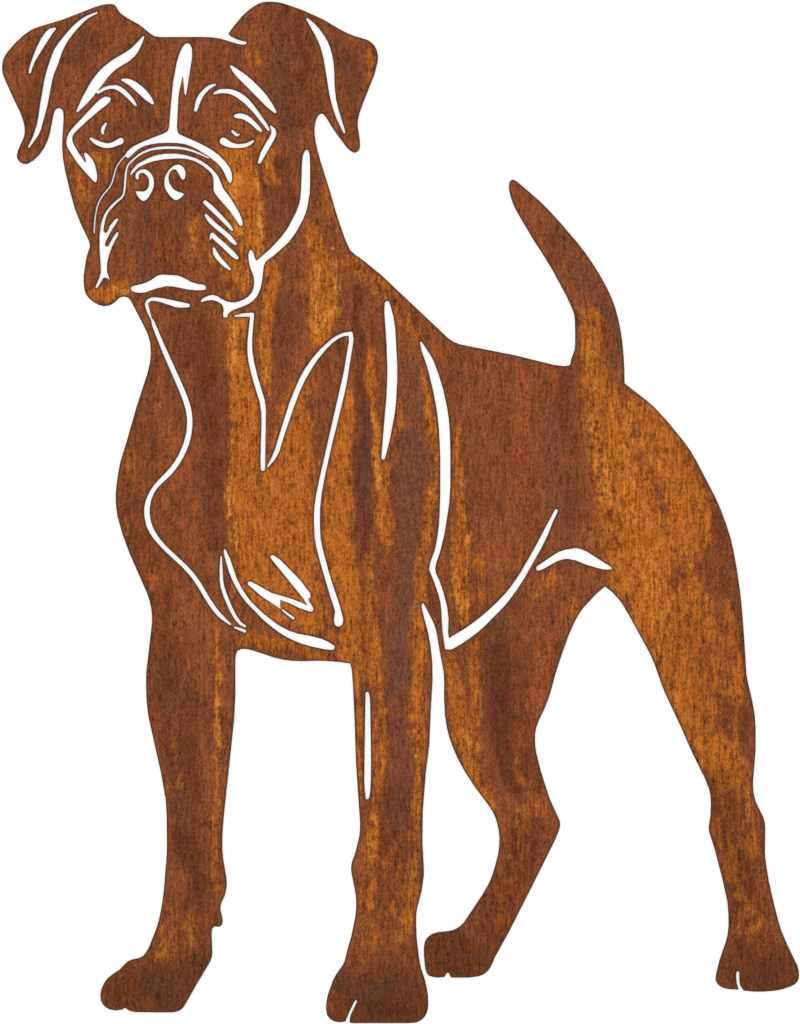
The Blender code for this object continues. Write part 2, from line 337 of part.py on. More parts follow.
# A slot of any other shape is given by the runs of its edge, each from one sharp corner to the next.
SHAPED_SLOTS = {
    "blaze": [
        [
            (185, 96), (184, 93), (183.4, 86), (182.9, 79.5),
        ],
        [
            (182.5, 76.3), (181.6, 79.5), (180.2, 86), (178.7, 94), (178, 102), (177.8, 112), (177.1, 121),
            (177, 129), (178.2, 133), (181.5, 135.2), (190, 138.9), (200, 143.4), (210, 148.8), (218.5, 155),
            (225.5, 162), (230, 168.6), (232.1, 175.3), (231.6, 181.4), (230, 183.2), (228, 181.6),
            (226, 177.3), (223.2, 171), (219, 165), (212, 158.9), (204, 153.4), (195, 148), (186, 144.4),
            (177, 143), (165, 142.8), (155, 143.5), (147, 145.2), (140, 148), (134.5, 152.3), (130, 156.6),
            (127.4, 158),
        ],
        [
            (125.3, 156), (125.6, 152.9), (130, 148.4), (137, 143.9), (145, 140.3), (155, 136.6),
            (163, 133.4),
            (167, 131.1), (168.6, 128), (169.1, 122), (169.9, 111), (171.1, 99), (172.3, 85), (174.2, 73),
            (176.6, 61.5), (179.5, 52.5), (182, 47), (184.6, 43.8), (187.5, 42.9), (190, 44.5), (191.6, 48),
            (192.2, 53), (191.7, 60), (190, 69), (188.2, 80), (186.8, 90), (186, 94.5),
        ],
    ],
    "left_muzzle_whiskers": [
        [
            (96.2, 288.6), (98.6, 286), (101, 281.7), (103.9, 277.6), (106.5, 277.9),
        ],
        [
            (109.8, 279.8), (108.6, 276.5), (107.2, 273), (106.8, 268), (107.2, 262), (108.4, 257),
            (110.3, 251), (113, 244.2), (116, 238.8), (118.3, 234.4), (117.8, 232.2), (116.2, 232.3),
            (113.5, 236), (110.5, 241), (108.5, 244.8), (106.7, 246.6), (105, 245.6), (105.1, 243),
            (107, 238.6), (110.6, 231.7), (114, 226.7), (117, 222), (118.1, 219.3), (117, 218), (115, 218.8),
            (112.5, 221.7), (109.8, 225.1), (108, 228.8), (107, 231.6), (105.4, 232.9), (103.9, 232.3),
            (103.4, 230), (104, 225.5), (105.2, 219.5), (107.2, 214.1), (110.2, 209.6),
        ],
        [
            (111.6, 207.6), (110.2, 206.4),
        ],
        [
            (109.4, 206.8), (106.4, 210.3), (103.6, 215), (101.6, 220.5), (100.2, 226), (99.4, 233),
            (99, 242),
            (99.3, 252), (100, 260), (100.5, 268), (100.2, 274), (98.4, 279), (96.3, 284), (95, 287.2),
        ],
    ],
    "nose_arch_and_cheek": [
        [
            (129.2, 176.2), (130.4, 172.3), (133.6, 167.6), (137.6, 163.5), (144, 159.9), (151, 156.6),
            (160, 154.1), (170, 153.3), (180, 153.9), (190, 156.1), (198, 159.2), (206, 164), (213, 170),
            (217.8, 176), (220.2, 182), (223, 188.3), (229, 196), (235, 205.5), (239.8, 214.3), (242.3, 221),
            (242.3, 225), (240.6, 226.2), (238, 223.7), (233.5, 216.3), (227.5, 208.2), (221, 201),
            (216, 195.2), (213.5, 190.8), (213.2, 185), (213.1, 178.5), (211.3, 173.5), (206, 168.2),
            (199, 163.4), (191, 159.8), (182, 158.4), (171, 158.6), (160, 159.8), (150.5, 162),
            (143, 164.9), (137, 168.7), (132.5, 173.6),
        ],
    ],
    "left_nostril": [
        [
            (134.9, 190.9), (140, 191.3), (144.5, 191), (147.4, 188.3), (148.7, 184), (148.5, 179.3),
            (146.4, 175.2), (142.8, 172.8), (139.8, 173.5), (138.6, 175.7), (138.6, 178.6), (137, 179.6),
            (134.9, 176.8), (135.4, 173.5), (137.8, 170.7), (141.5, 169.1), (146, 169.5), (150, 172.4),
            (152.9, 177), (154, 182.5), (153.2, 188), (150.5, 194), (147, 199), (143.6, 201.1),
            (140.2, 199.4), (137.2, 195.7),
        ],
    ],
    "right_nostril": [
        [
            (184.2, 194), (181.5, 192.6), (177.5, 191.6), (173.5, 189.3), (170.5, 185.4), (168.7, 181),
            (168.4, 176.5), (170, 172.2), (173, 169.4), (175.8, 169.5), (177.9, 172.7), (180, 177),
            (182.2, 179.5), (184.3, 178.8), (185.4, 175.5), (185.1, 171), (183, 166.9), (179, 164.4),
            (174.5, 164.9), (169.8, 168.4), (166, 173.5), (164.3, 178), (164, 183), (164.8, 188.2),
            (167.8, 193.2), (171.8, 197.9), (175.6, 200.1), (180, 198.4),
        ],
    ],
    "left_eye_corner": [
        [
            (96, 182.6), (97.1, 178.5), (96.5, 171.5), (94, 162.5), (90.5, 157), (86.3, 153.1), (83.9, 152.4),
            (83.7, 154.4), (85.3, 159),
        ],
        [
            (85.4, 162.8), (83, 159.5), (79.5, 154.5), (75.5, 148), (72.6, 142), (72.1, 137.5), (74, 133.3),
            (79.5, 128.2), (86, 121.8), (93, 115.7), (100, 109.8), (106, 105.3), (109.8, 101.6),
            (110.7, 98.8), (109, 97), (104.5, 96.6), (100, 98.7), (95, 103.5), (88, 111), (80, 119.5),
            (73, 127), (68.2, 133.2), (66.2, 139), (66.4, 145.5), (69.5, 151.3), (75, 160), (82, 168.7),
            (89, 176.2), (93.5, 181.2),
        ],
    ],
    "right_jaw": [
        [
            (256.2, 260.6), (260.2, 257), (266.7, 251.7), (273.2, 245.3), (280, 237.8), (286.5, 229.4),
            (291.5, 220.5), (296.3, 210.8), (299.4, 201.5), (300.7, 190), (301.1, 175), (301.7, 162),
            (302.7, 155), (304.5, 150.7), (306.2, 149.4), (308, 150.4), (309.3, 154), (309.9, 163),
            (310, 178), (309.7, 192), (308.2, 202), (305.6, 213), (301.2, 223), (295.3, 233.2),
            (288.4, 242.5), (280, 250), (273, 256.3), (266.5, 260.9), (264.1, 265), (262.9, 272),
            (261.9, 281), (260, 289.5), (257, 296), (252, 301.6), (246, 305), (238, 308.2), (232, 310.6),
            (228.6, 313.2), (227.3, 315.6),
        ],
        [(226.9, 317.4)],
        [
            (223, 317.2), (222.8, 314), (223.3, 309.5), (221.8, 304.6), (218, 301.8), (211.5, 300),
            (205, 300.9), (201.6, 302.3), (200.2, 301.3), (201.6, 298.9), (206, 296.4), (211.5, 294.8),
            (216, 295.5), (221, 298.7), (227, 301.5), (233, 302.4), (240, 300.9), (246.5, 297.6),
            (251, 293), (253.2, 287.5), (253.9, 281), (253, 275.5), (250.5, 269.3), (248.6, 262),
            (248, 255.5), (249, 250.6), (250.3, 249.4), (252.3, 251), (253.9, 254.6), (255, 258.6),
        ],
    ],
    "mouth": [
        [
            (130.2, 288.5), (131.2, 286.3), (136, 285.2), (143, 283.3), (150, 280.4), (156, 276),
            (160.5, 274.6), (168, 274.9), (177, 275.4), (184, 278), (191, 281.9), (198, 283.9),
            (203.5, 284.7), (206.1, 287.3), (205, 289.7), (199, 290.3), (190, 289.8), (182, 288.2),
            (174, 286.6), (167, 286.1), (159, 287.7), (150.5, 290.4), (144, 292.6), (137, 292.6),
            (131.8, 291),
        ],
    ],
    "chest_comb": [
        [
            (307.2, 605.6), (303.7, 599.7), (296.3, 589.9), (286.7, 577.9), (277.1, 566.7), (272, 560.3),
            (269.9, 556.8), (270.9, 554.9), (273.4, 555.3), (280, 559.7), (290, 569.7), (300, 580.2),
            (307.5, 590), (310.4, 594.2),
        ],
        [(310.2, 598.2)],
        [
            (308, 598.6), (308.9, 601), (312.6, 606.9), (313.3, 610), (311.6, 611.7), (305, 610),
            (299, 607.9),
            (290, 603.5),
        ],
        [(280.2, 599.9), (280.2, 604)],
        [
            (280.4, 609), (270, 602.1), (260, 595.3), (250, 586.4), (247.3, 583.8), (247.6, 582),
            (249.4, 581.4), (255, 583.7), (265, 589.4), (272, 593.2), (280, 595.3), (290, 598.4),
            (300, 602.1),
        ],
    ],
    "flank_fold": [
        [
            (612.3, 568.4), (610, 569.4), (604, 569.5), (595, 567.4), (585, 564.2), (575, 560.2),
            (566.5, 558.8),
            (558, 560.9), (550, 565), (541.5, 569.8), (538.3, 570.7), (536.3, 569.6), (536.4, 566.8),
            (540, 564.1), (550, 557.2), (560, 551.2), (570, 548.7), (576.5, 548.1), (585, 550.7),
            (595, 556.6), (605, 563.3), (610, 566.2),
        ],
    ],
}


def remove_everything():
    for item in list(bpy.data.objects):
        bpy.data.objects.remove(item, do_unlink=True)


def new_collection(name):
    collection = bpy.data.collections.new(name)
    bpy.context.scene.collection.children.link(collection)
    return collection


def curve_span(before, start, end, after):
    """Points from start up to end on the centripetal Catmull-Rom curve through four knots, a unit apart."""
    t1 = (start.xy - before.xy).length ** 0.5
    t2 = t1 + (end.xy - start.xy).length ** 0.5
    t3 = t2 + (after.xy - end.xy).length ** 0.5
    count = max(2, math.ceil((end.xy - start.xy).length))
    points = []
    for step in range(count):
        t = t1 + (t2 - t1) * step / count
        a1 = before.lerp(start, t / t1)
        a2 = start.lerp(end, (t - t1) / (t2 - t1))
        a3 = end.lerp(after, (t - t2) / (t3 - t2))
        b1 = a1.lerp(a2, t / t2)
        b2 = a2.lerp(a3, (t - t1) / (t3 - t1))
        points.append(b1.lerp(b2, (t - t1) / (t2 - t1)))
    return points


def smooth_line(knots):
    """A smooth line through all the knots. It ends on the last one."""
    knots = [Vector((*knot, 0.0)[:3]) for knot in knots]
    ends = [2 * knots[0] - knots[1]] + knots + [2 * knots[-1] - knots[-2]]
    points = []
    for index in range(len(knots) - 1):
        points += curve_span(*ends[index:index + 4])
    return points + [knots[-1]]


def thinned(points, tolerance):
    """The fewest of a line's points whose chords stay within the tolerance of the rest.

    The line is halved first, because a closed one ends where it starts.
    """
    half = len(points) // 2
    kept = {0, half, len(points) - 1}
    pending = [(0, half), (half, len(points) - 1)]
    while pending:
        first, last = pending.pop()
        chord = points[last].xy - points[first].xy
        normal = Vector((-chord.y, chord.x)) / max(chord.length, 1e-9)
        strays = [abs((point.xy - points[first].xy).dot(normal)) for point in points[first + 1:last]]
        if strays and max(strays) > tolerance:
            middle = first + 1 + strays.index(max(strays))
            kept.add(middle)
            pending += [(first, middle), (middle, last)]
    return [points[index].xy for index in sorted(kept)]


def edge_of_runs(runs, tolerance):
    """The closed edge of a shape, from its runs of knots between sharp corners."""
    edge = []
    for run, following in zip(runs, runs[1:] + runs[:1]):
        edge += thinned(smooth_line(run + following[:1]), tolerance)[:-1]
    return edge


def edge_of_line(knots, tolerance):
    """The closed edge of a tapering slot with round ends, from its middle line and widths."""
    middle = smooth_line(knots)
    lefts, rights = [], []
    for index, point in enumerate(middle):
        along = middle[min(index + 1, len(middle) - 1)].xy - middle[max(index - 1, 0)].xy
        across = Vector((-along.y, along.x)).normalized() * point.z / 2
        lefts.append(point.xy + across)
        rights.append(point.xy - across)
    far_end = round_end(middle[-1].xy, lefts[-1])
    near_end = round_end(middle[0].xy, rights[0])
    return thinned(lefts, tolerance)[:-1] + far_end + thinned(rights[::-1], tolerance)[1:-1] + near_end


def round_end(centre, start):
    """Half a circle about the centre, from the start and clockwise on the pattern's axes."""
    arm = start - centre
    points = []
    for step in range(ROUND_END_CHORDS + 1):
        turn = -math.pi * step / ROUND_END_CHORDS
        swung = Vector((
            arm.x * math.cos(turn) - arm.y * math.sin(turn),
            arm.x * math.sin(turn) + arm.y * math.cos(turn),
        ))
        points.append(centre + swung)
    return points


def flat_solid(name, edge, low, high, collection):
    """A flat plate with the given closed edge, in metres, between two heights."""
    curve = bpy.data.curves.new(name, "CURVE")
    curve.dimensions = "2D"
    curve.fill_mode = "BOTH"
    curve.extrude = (high - low) / 2
    spline = curve.splines.new("POLY")
    spline.points.add(len(edge) - 1)
    for point, (x, y) in zip(spline.points, edge):
        point.co = (x, y, 0, 1)
    spline.use_cyclic_u = True
    drawn = bpy.data.objects.new(name, curve)
    drawn.location.z = (low + high) / 2
    collection.objects.link(drawn)
    graph = bpy.context.evaluated_depsgraph_get()
    mesh = bpy.data.meshes.new_from_object(drawn.evaluated_get(graph))
    matrix = drawn.matrix_world.copy()
    bpy.data.objects.remove(drawn)
    bpy.data.curves.remove(curve)
    shell = bmesh.new()
    shell.from_mesh(mesh)
    bmesh.ops.remove_doubles(shell, verts=shell.verts, dist=WELD_DISTANCE)
    bmesh.ops.recalc_face_normals(shell, faces=shell.faces)
    shell.to_mesh(mesh)
    shell.free()
    mesh.name = name
    solid = bpy.data.objects.new(name, mesh)
    solid.matrix_world = matrix
    collection.objects.link(solid)
    return solid


def rusty_steel():
    material = bpy.data.materials.new("rusty_steel")
    material.use_nodes = True
    shader = material.node_tree.nodes["Principled BSDF"]
    shader.inputs["Base Color"].default_value = RUST_COLOUR
    shader.inputs["Roughness"].default_value = RUST_ROUGHNESS
    shader.inputs["Metallic"].default_value = RUST_METALLIC
    material.diffuse_color = RUST_COLOUR
    return material


def main():
    remove_everything()
    figure = new_collection("rusty_dog_figure")
    cutters = new_collection("cutters")

    # The pattern's own size, from the outline itself. It sets how large one pattern unit is.
    knots = [Vector(knot) for run in FIGURE_OUTLINE for knot in run]
    unit = FIGURE_HEIGHT / (max(knot.y for knot in knots) - min(knot.y for knot in knots))
    tolerance = CURVE_TOLERANCE / unit
    outline = edge_of_runs(FIGURE_OUTLINE, tolerance)
    lowest = Vector((min(point.x for point in outline), min(point.y for point in outline)))
    highest = Vector((max(point.x for point in outline), max(point.y for point in outline)))
    centre = (lowest + highest) / 2

    def in_metres(edge):
        return [((point.x - centre.x) * unit, (centre.y - point.y) * unit) for point in edge]

    sheet = flat_solid("dog_silhouette", in_metres(outline), 0, SHEET_THICKNESS, figure)
    sheet.data.materials.append(rusty_steel())

    slot_edges = {name: edge_of_line(knots, tolerance) for name, knots in LINE_SLOTS.items()}
    slot_edges |= {name: edge_of_runs(runs, tolerance) for name, runs in SHAPED_SLOTS.items()}
    for name, edge in slot_edges.items():
        low, high = -CUTTER_OVERRUN, SHEET_THICKNESS + CUTTER_OVERRUN
        cutter = flat_solid("cut_" + name, in_metres(edge), low, high, cutters)
        cutter.hide_render = True
        cutter.display_type = "WIRE"

    slots = sheet.modifiers.new("slots", "BOOLEAN")
    slots.operation = "DIFFERENCE"
    slots.operand_type = "COLLECTION"
    slots.collection = cutters
    slots.solver = "EXACT"


main()
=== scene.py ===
"""Looks for a boxer dog figure cut from one sheet of rusted weathering steel, lying on a pale floor."""

import bmesh
import bpy
import numpy as np
from bpy.props import FloatProperty, FloatVectorProperty, PointerProperty
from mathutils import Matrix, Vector, noise
from mathutils.bvhtree import BVHTree


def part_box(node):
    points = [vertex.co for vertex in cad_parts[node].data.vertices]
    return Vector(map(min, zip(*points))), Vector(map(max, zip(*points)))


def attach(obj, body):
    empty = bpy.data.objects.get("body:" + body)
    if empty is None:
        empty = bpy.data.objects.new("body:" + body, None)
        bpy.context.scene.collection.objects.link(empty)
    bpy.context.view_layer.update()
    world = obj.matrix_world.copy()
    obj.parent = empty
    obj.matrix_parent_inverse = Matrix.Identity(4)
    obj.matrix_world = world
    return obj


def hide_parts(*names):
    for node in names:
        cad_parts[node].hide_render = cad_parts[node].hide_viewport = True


bl_info = {
    "name": "Rusted Dog Figure",
    "version": (1, 0, 0),
    "blender": (4, 5, 0),
    "location": "View3D > Sidebar > Dog Figure",
    "description": "Rounds, rusts and lights a dog figure cut from sheet steel",
    "category": "Object",
}

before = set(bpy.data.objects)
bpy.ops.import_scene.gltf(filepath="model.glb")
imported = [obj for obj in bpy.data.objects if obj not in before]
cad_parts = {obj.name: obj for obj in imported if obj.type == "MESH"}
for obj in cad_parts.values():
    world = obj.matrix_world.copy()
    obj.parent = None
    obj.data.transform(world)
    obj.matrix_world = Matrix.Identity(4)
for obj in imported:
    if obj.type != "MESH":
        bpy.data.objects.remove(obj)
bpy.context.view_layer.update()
SHEET_NODE = "dog_silhouette"
SHEET_LOW, SHEET_HIGH = (Vector(corner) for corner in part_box(SHEET_NODE))

# The pattern's units: about a thousandth of the figure's height, with X to the right and Y down. The
# sheet's left, top and bottom edges lie at these places on it.
PATTERN_LEFT = 2.0
PATTERN_TOP = 1.6
PATTERN_BOTTOM = 1023.2
UNIT = (SHEET_HIGH.y - SHEET_LOW.y) / (PATTERN_BOTTOM - PATTERN_TOP)

# The pictures are this many pixels wide and tall, and one pattern unit is one pixel.
PICTURE_WIDTH = 800
PICTURE_HEIGHT = 1024

# In metres: how close together points are taken as one, how close to a cutting plane a point counts as on
# it, and the room between the sheet and the floor. In radians: how slight a bend counts as none.
MERGE_DISTANCE = 1e-6
CUT_DISTANCE = 1e-7
FLOOR_GAP = 0.0002
STRAIGHT_ANGLE = 0.001

# Rust's own patterns: a grain's width and length in pattern units, the noise's detail and roughness, and
# where in the noise the pattern starts.
RUST_PATTERNS = {
    "blotch": (38, 80, 4, 0.60, 3),
    "streak": (4.5, 55, 4, 0.62, 17),
    "curd": (9, 14, 5, 0.72, 41),
    "fleck": (3.6, 7.2, 3, 0.72, 31),
    "vein": (13, 22, 3, 0.55, 53),
    "crack": (2.5, 20, 3, 0.62, 67),
    "pit": (5.0, 8.0, 4, 0.75, 71),
    "speck": (2.0, 3.2, 2, 0.70, 23),
    "grit": (1.2, 1.5, 1, 0.60, 11),
}

# Where a streak has faded out and how long its fade is, in half widths, and what is added to each half
# width.
FADE_END = 1.7
FADE_LENGTH = 1.4
EXTRA_HALF_WIDTH = 0.8

# How the streaks wander: the sways' widths and how far each one pushes, in pattern units, how many times
# longer than wide the sways are, and how far over its push a sway along X and one along Y are read in the
# noise.
SWAYS = ((30.0, 7.0), (10.0, 3.5))
SWAY_STRETCH = 2.2
SWAY_HEIGHTS = (0.3, 20.3)

# A rim's inner point is drawn back until its clearance from every cut is this share of the rim's width
# there. A point that turned a face over is drawn back until it no longer does. Each round leaves a share of
# the way that the point had moved.
INSET_CLEARANCE = 0.9
INSET_ROUNDS, INSET_SHARE = 12, 0.72
UNFOLD_ROUNDS, UNFOLD_SHARE = 14, 0.6

# The hollows that the rust has eaten: how many there are to the metre along X, Y and Z, how far from a cut
# they start, over what length they reach their full depth, and the octaves of noise in them.
HOLLOWS_PER_METRE = (260, 120, 900)
HOLLOWS_START = 0.001
HOLLOWS_RISE = 0.003
HOLLOWS_OCTAVES = 3

# Where the rust takes each colour. Each streak is how strong it is, then the points along its middle line,
# as X, Y and half its width there.
RUST_STREAKS = {
    "orange": [
        # Head: brow, ear edge, under the eye, left cheek, left jowl, muzzle, right cheek and jaw.
        (0.60, (160, 84, 2.5), (160, 104, 3), (159, 127, 2)),
        (0.75, (370, 52, 4), (373, 68, 5), (368, 88, 3)),
        (0.35, (248, 38, 5), (256, 60, 6)),
        (0.70, (90, 158, 7), (104, 166, 11), (112, 176, 6)),
        (0.50, (73, 150, 6), (78, 176, 8), (85, 200, 5)),
        (0.90, (96, 292, 6), (110, 296, 8), (123, 289, 7)),
        (0.55, (192, 214, 3), (192, 254, 4)),
        (0.45, (168, 240, 4), (169, 268, 3)),
        (0.92, (236, 156, 13), (243, 186, 17), (247, 224, 18), (247, 256, 11)),
        (0.80, (262, 140, 6), (272, 158, 8), (277, 180, 5)),
        (0.70, (214, 254, 6), (232, 272, 10), (243, 286, 8), (232, 298, 4)),
        (0.50, (283, 236, 4), (274, 246, 5), (262, 256, 4)),
        # Neck.
        (0.50, (322, 150, 6), (328, 186, 9), (338, 226, 9)),
        (0.98, (312, 236, 7), (316, 268, 13), (321, 300, 17), (324, 334, 13)),
        (0.95, (268, 262, 7), (271, 280, 6), (266, 306, 6), (266, 350, 6), (266, 396, 4)),
        (0.70, (350, 262, 6), (368, 276, 10), (384, 292, 9)),
        (0.55, (392, 300, 5), (404, 318, 6), (418, 336, 5)),
        # Chest.
        (
            1.00, (238, 322, 9), (239, 350, 9), (243, 392, 14), (244, 440, 18), (246, 490, 22),
            (248, 540, 23),
        ),
        (1.00, (250, 560, 20), (262, 590, 17), (280, 618, 10)),
        (
            0.95, (300, 398, 11), (296, 440, 18), (290, 490, 30), (288, 540, 33), (296, 580, 30),
            (308, 616, 20),
        ),
        (
            0.95, (347, 396, 7), (344, 440, 10), (340, 486, 14), (340, 530, 15), (348, 590, 12),
            (352, 650, 14),
        ),
        (0.70, (127, 455, 4), (128, 476, 4)),
        (0.50, (122, 520, 3), (128, 540, 4)),
        (0.85, (246, 640, 6), (268, 644, 6), (300, 650, 6), (330, 655, 5)),
        # Shoulder.
        (0.85, (372, 350, 4), (373, 400, 4), (374, 440, 5), (381, 470, 9), (384, 500, 7), (386, 540, 6)),
        (0.55, (396, 372, 4), (396, 430, 5), (392, 462, 5)),
        (
            0.80, (424, 372, 3), (430, 420, 3.5), (431, 480, 3.5), (426, 540, 5), (420, 590, 7),
            (414, 640, 6),
        ),
        (0.72, (372, 560, 8), (370, 620, 10), (372, 670, 9)),
        (0.85, (456, 430, 2.5), (458, 490, 6), (460, 540, 9), (461, 590, 10), (466, 618, 7)),
        (0.55, (480, 560, 6), (482, 600, 5)),
        (0.45, (520, 576, 3), (502, 604, 3), (482, 622, 3)),
        # Far fore leg.
        (0.82, (216, 632, 3), (217, 680, 3), (218, 740, 2.4)),
        (0.60, (218, 740, 2.2), (218, 800, 2), (217, 850, 3.5), (217, 890, 4)),
        (0.45, (150, 560, 5), (156, 600, 4)),
        (0.40, (176, 720, 3), (178, 790, 3)),
        (0.40, (165, 780, 3), (168, 800, 3)),
        (0.62, (166, 905, 5), (168, 935, 7), (162, 956, 6)),
        (0.52, (190, 905, 4), (194, 932, 5), (192, 950, 4)),
        # Near fore leg.
        (0.80, (356, 664, 5), (358, 720, 5), (357, 790, 5)),
        (0.62, (379, 690, 5), (380, 740, 5), (378, 800, 6), (370, 850, 9), (368, 900, 8)),
        (0.88, (421, 650, 5), (416, 720, 7)),
        (0.66, (416, 730, 6), (414, 780, 5), (417, 840, 5), (412, 900, 6), (405, 940, 5)),
        (0.48, (392, 850, 10), (390, 900, 14), (378, 940, 12)),
        (0.42, (366, 930, 7), (360, 960, 5)),
        # Near hind leg.
        (0.85, (452, 660, 5), (456, 700, 8), (464, 740, 10), (472, 780, 6), (490, 806, 4)),
        (0.60, (480, 640, 4), (476, 680, 6), (474, 720, 7)),
        (0.70, (548, 578, 6), (540, 592, 5)),
        (0.65, (573, 600, 5), (577, 612, 4)),
        (0.45, (520, 760, 5), (524, 820, 9), (512, 870, 9), (500, 910, 8)),
        (0.40, (540, 800, 5), (546, 830, 6)),
        # Tail, rump and outer hind leg.
        (0.90, (588, 312, 7), (594, 350, 11), (600, 384, 13)),
        (1.00, (598, 392, 20), (606, 430, 24), (622, 480, 30), (634, 530, 38), (640, 566, 36)),
        (0.90, (640, 406, 14), (664, 440, 22), (684, 490, 22), (690, 540, 20)),
        (0.85, (648, 590, 24), (668, 640, 28), (690, 690, 26), (708, 740, 22), (722, 780, 16)),
        (0.75, (684, 590, 20), (704, 640, 16), (726, 690, 12)),
        (0.70, (726, 600, 5), (732, 660, 6), (738, 700, 6)),
        (0.54, (722, 800, 12), (730, 840, 15), (738, 880, 14), (748, 920, 14), (756, 945, 8)),
        (0.60, (738, 760, 10), (746, 800, 7), (752, 850, 6)),
    ],
    "ochre": [
        (0.95, (258, 168, 2.6), (260, 196, 2.8), (260, 224, 2.6), (257, 252, 3)),
        (0.80, (236, 178, 4), (234, 200, 3), (240, 236, 3)),
        (0.80, (270, 160, 2.2), (272, 182, 1.8)),
        (0.70, (246, 266, 3), (251, 288, 2.6)),
        (0.75, (118, 292, 5), (126, 290, 3)),
        (0.55, (192, 222, 1.6), (191, 246, 1.6)),
        (0.75, (313, 246, 2), (312, 282, 2), (315, 312, 2.2), (316, 332, 1.8)),
        (0.85, (332, 246, 2), (334, 266, 2.4), (336, 292, 2), (330, 316, 2.2)),
        (0.80, (322, 296, 1.8), (326, 318, 2.8), (320, 334, 2)),
        (0.95, (237, 326, 5), (238, 348, 6), (236, 372, 3)),
        (0.50, (228, 400, 2), (228, 460, 2)),
        (0.60, (262, 300, 1.8), (266, 350, 1.8), (266, 384, 1.6)),
        (0.75, (371, 400, 2), (372, 440, 2.2), (378, 470, 4.5), (381, 490, 3)),
        (0.70, (226, 480, 4), (232, 540, 5)),
        (0.55, (428, 450, 1.6), (428, 500, 1.6)),
        (0.85, (455, 566, 2), (456, 602, 2.4), (462, 622, 2.6)),
        (0.60, (468, 520, 2), (470, 560, 2)),
        (0.60, (470, 596, 1.6), (471, 612, 1.8)),
        (0.56, (217, 650, 1.6), (218, 700, 1.8), (218, 760, 1.4)),
        (0.60, (164, 950, 3), (160, 962, 3)),
        (0.60, (374, 820, 3), (372, 860, 3)),
        (0.55, (412, 730, 3), (410, 760, 2.4)),
        (0.60, (466, 730, 3), (470, 756, 2.4)),
        (0.80, (590, 330, 3), (594, 360, 4), (592, 392, 4)),
        (0.62, (588, 400, 5), (592, 430, 6), (600, 464, 7), (608, 500, 7)),
        (0.45, (616, 400, 7), (622, 440, 10), (632, 480, 12), (640, 520, 14)),
        (0.40, (648, 560, 16), (658, 610, 14)),
        (0.35, (660, 440, 12), (668, 474, 10)),
        (0.35, (740, 900, 8), (748, 930, 8)),
    ],
    "red": [
        (0.60, (98, 20, 8), (108, 34, 8)),
        (0.50, (30, 60, 7), (22, 90, 6)),
        (0.60, (120, 60, 6), (112, 76, 5)),
        (0.55, (200, 50, 10), (212, 76, 9)),
        (0.60, (246, 44, 6), (250, 66, 6), (258, 84, 4)),
        (0.50, (334, 60, 5), (344, 96, 6)),
        (0.55, (112, 116, 8), (96, 124, 8)),
        (0.50, (246, 150, 6), (230, 150, 6)),
        (0.60, (200, 220, 7), (198, 250, 8), (182, 262, 8)),
        (0.60, (130, 262, 6), (122, 280, 5)),
        (0.55, (160, 212, 4), (160, 262, 4)),
        (0.60, (290, 160, 4), (296, 200, 3)),
        (0.60, (326, 140, 4), (334, 176, 4)),
        (0.60, (170, 440, 6), (188, 480, 14), (190, 520, 16), (196, 556, 12)),
        (0.55, (140, 350, 6), (132, 400, 8), (124, 440, 5)),
        (0.60, (136, 520, 7), (150, 560, 8), (170, 600, 10)),
        (0.60, (300, 360, 8), (310, 380, 8), (306, 400, 5)),
        (0.50, (386, 560, 8), (388, 610, 8)),
        (0.80, (518, 366, 5), (524, 410, 7), (522, 460, 7), (524, 500, 6)),
        (0.55, (480, 360, 7), (474, 380, 5)),
        (0.60, (440, 346, 6), (446, 366, 3)),
        (0.70, (548, 360, 8), (558, 386, 5)),
        (0.80, (562, 616, 5), (548, 648, 7), (544, 684, 6), (532, 714, 6), (524, 746, 5)),
        (0.60, (500, 640, 6), (506, 680, 4)),
        (0.50, (512, 200, 5), (526, 226, 7)),
        (0.60, (608, 384, 5), (612, 400, 5)),
        (0.50, (204, 980, 8), (196, 1000, 6)),
        (0.50, (344, 1000, 6), (336, 1012, 4)),
        (0.60, (448, 950, 10), (462, 962, 8)),
        (0.60, (536, 838, 8), (520, 880, 9), (500, 930, 10)),
        (0.55, (728, 520, 5), (738, 580, 4)),
        (0.50, (714, 800, 4), (716, 830, 5)),
    ],
    "maroon": [
        # Dark drips and shadows in the rust.
        (0.50, (272, 182, 7), (278, 206, 9), (272, 232, 6)),
        (0.70, (284, 160, 6), (288, 196, 7), (290, 214, 5)),
        (0.55, (260, 206, 1.6), (259, 214, 1.6)),
        (0.55, (252, 178, 1.6), (253, 186, 1.4)),
        (0.50, (150, 186, 12), (170, 190, 14), (196, 186, 10)),
        (0.55, (160, 150, 10), (190, 152, 10)),
        (0.55, (160, 300, 8), (190, 316, 9)),
        (0.70, (205, 330, 14), (206, 390, 12), (212, 440, 9), (215, 500, 8), (214, 548, 7)),
        (0.50, (226, 380, 2), (224, 440, 3), (221, 500, 4)),
        (0.60, (180, 330, 14), (186, 360, 10)),
        (0.50, (280, 300, 12), (284, 340, 14), (280, 380, 11), (272, 410, 5)),
        (0.48, (322, 356, 7), (326, 390, 8), (322, 430, 5), (318, 452, 3)),
        (0.50, (236, 380, 3), (236, 420, 4)),
        (0.50, (219, 460, 4), (218, 510, 4)),
        (0.65, (427, 560, 4), (428, 610, 5)),
        (0.45, (465, 550, 3), (464, 600, 3)),
        (0.80, (335, 340, 8), (340, 356, 4)),
        (0.55, (261, 470, 3), (261, 520, 3)),
        (0.45, (312, 470, 3), (310, 540, 4), (314, 580, 3)),
        (0.80, (359, 290, 5), (361, 340, 5), (363, 400, 6), (364, 450, 8), (365, 500, 8), (367, 560, 7)),
